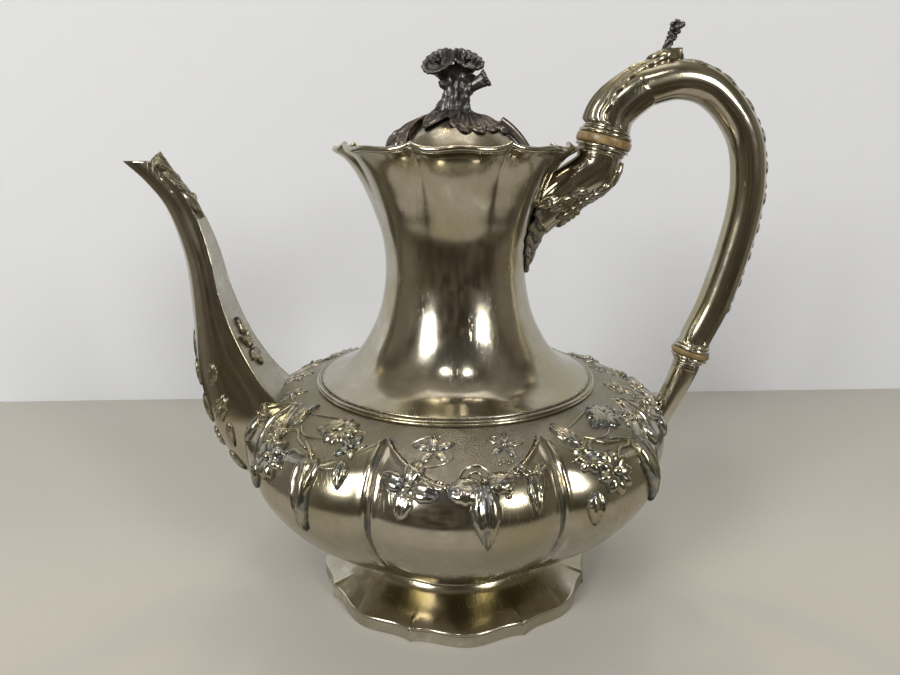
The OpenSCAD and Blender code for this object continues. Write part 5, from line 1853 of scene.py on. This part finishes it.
# %% Windows and lamps
def towards(azimuth, elevation, distance=2.0):
    """A point of the room: azimuth 0 is behind the camera, and positive is the handle's side."""
    a, e = math.radians(azimuth), math.radians(elevation)
    return (distance * math.sin(a) * math.cos(e), -distance * math.cos(a) * math.cos(e),
        0.12 + distance * math.sin(e))


def area_light(name, azimuth, elevation, wide, high, power, colour, distance=2.0):
    data = bpy.data.lights.new(name, "AREA")
    data.shape, data.size, data.size_y = "RECTANGLE", wide, high
    data.energy, data.color = power, colour
    lamp = bpy.data.objects.new(name, data)
    lamp.location = towards(azimuth, elevation, distance)
    aim = Vector((0, 0, 0.12)) - Vector(lamp.location)
    lamp.rotation_euler = aim.to_track_quat("-Z", "Y").to_euler()
    bpy.context.scene.collection.objects.link(lamp)
    return lamp


area_light("window_left", -42, 25, 0.50, 0.78, 26, (1.0, 0.98, 0.95))
area_light("window_right", 37, 22, 0.38, 0.56, 16, (1.0, 0.98, 0.95))
area_light("lamp_left", -165, 67, 0.10, 0.10, 1.2, (1.0, 0.80, 0.55), 1.5)
area_light("lamp_right", 155, 67, 0.10, 0.10, 1.2, (1.0, 0.80, 0.55), 1.5)
area_light("ceiling", 180, 78, 1.3, 1.3, 6, (1.0, 0.96, 0.9), 1.9)
area_light("bright_strip_left", -18, 52, 0.16, 0.20, 1.6, (1.0, 0.97, 0.9), 1.8)
area_light("bright_strip_right", 16, 52, 0.16, 0.20, 1.4, (1.0, 0.97, 0.9), 1.8)
print("windows and lamps")

# %% [markdown]
# The world behind the lamps is the room: dark brown below, a lighter ceiling, mid-bright
# walls at the sides, and a dark patch where the onlooker stands. Soft noise breaks it
# into furniture-like blotches. The camera itself sees a plain pale room.


# %% World
def build_world():
    world = bpy.data.worlds.new("room")
    bpy.context.scene.world = world
    world.use_nodes = True
    tree = world.node_tree
    back = tree.nodes["Background"]
    way = add_node(tree, "ShaderNodeTexCoord").outputs["Generated"]
    split = add_node(tree, "ShaderNodeSeparateXYZ")
    tree.links.new(way, split.inputs[0])
    x, y, z = split.outputs
    patches = step_between(tree, noise(tree, way, 2.2, 3.0), 0.35, 0.65)
    small = step_between(tree, noise(tree, way, 7.0, 3.0), 0.42, 0.62)
    low = mix_colour(tree, small, (0.04, 0.033, 0.022, 1), (0.15, 0.125, 0.09, 1))
    high = mix_colour(tree, patches, (0.20, 0.185, 0.155, 1), (0.40, 0.37, 0.31, 1))
    colour = mix_colour(tree, step_between(tree, z, 0.45, 0.8), low, high)
    side = step_between(tree, math_node(tree, "ABSOLUTE", x), 0.80, 0.97)
    colour = mix_colour(tree, times(tree, side, 0.8), colour, (0.28, 0.255, 0.21, 1))
    front = times(tree, step_between(tree, y, -0.15, -0.5), step_between(tree, z, 0.35, 0.6))
    narrow = step_between(tree, math_node(tree, "ABSOLUTE", x), 0.55, 0.35)
    front = times(tree, front, step_between(tree, z, 0.97, 0.86))
    dark = times(tree, times(tree, front, narrow), 0.85)
    colour = mix_colour(tree, dark, colour, (0.05, 0.045, 0.038, 1))
    seen = add_node(tree, "ShaderNodeLightPath").outputs["Is Camera Ray"]
    colour = mix_colour(tree, seen, colour, (0.66, 0.65, 0.64, 1))
    tree.links.new(colour, back.inputs["Color"])
    back.inputs["Strength"].default_value = 1.0


build_world()

# %% [markdown]
# The camera stands a hand's breadth above the rim, close to the pot, and looks down a
# little. The lens is wide, as on a small camera held near.

# %% Camera
HEADING, PITCH = 2.5, 15.1
CAMERA_AWAY, CAMERA_UP = 0.311, 0.200
camera_data = bpy.data.cameras.new("camera")
camera_data.lens, camera_data.sensor_width, camera_data.shift_x = 28.0, 36.0, -0.0061
camera = bpy.data.objects.new("camera", camera_data)
turn = math.radians(HEADING)
camera.location = (-CAMERA_AWAY * math.sin(turn), -CAMERA_AWAY * math.cos(turn), CAMERA_UP)
camera.rotation_euler = (math.radians(90 - PITCH), 0, -turn)
camera_data.clip_start, camera_data.clip_end = 0.01, 20
bpy.context.scene.collection.objects.link(camera)
bpy.context.scene.camera = camera
bpy.context.scene.view_settings.view_transform = "Standard"
print("camera at", [round(v, 3) for v in camera.location])
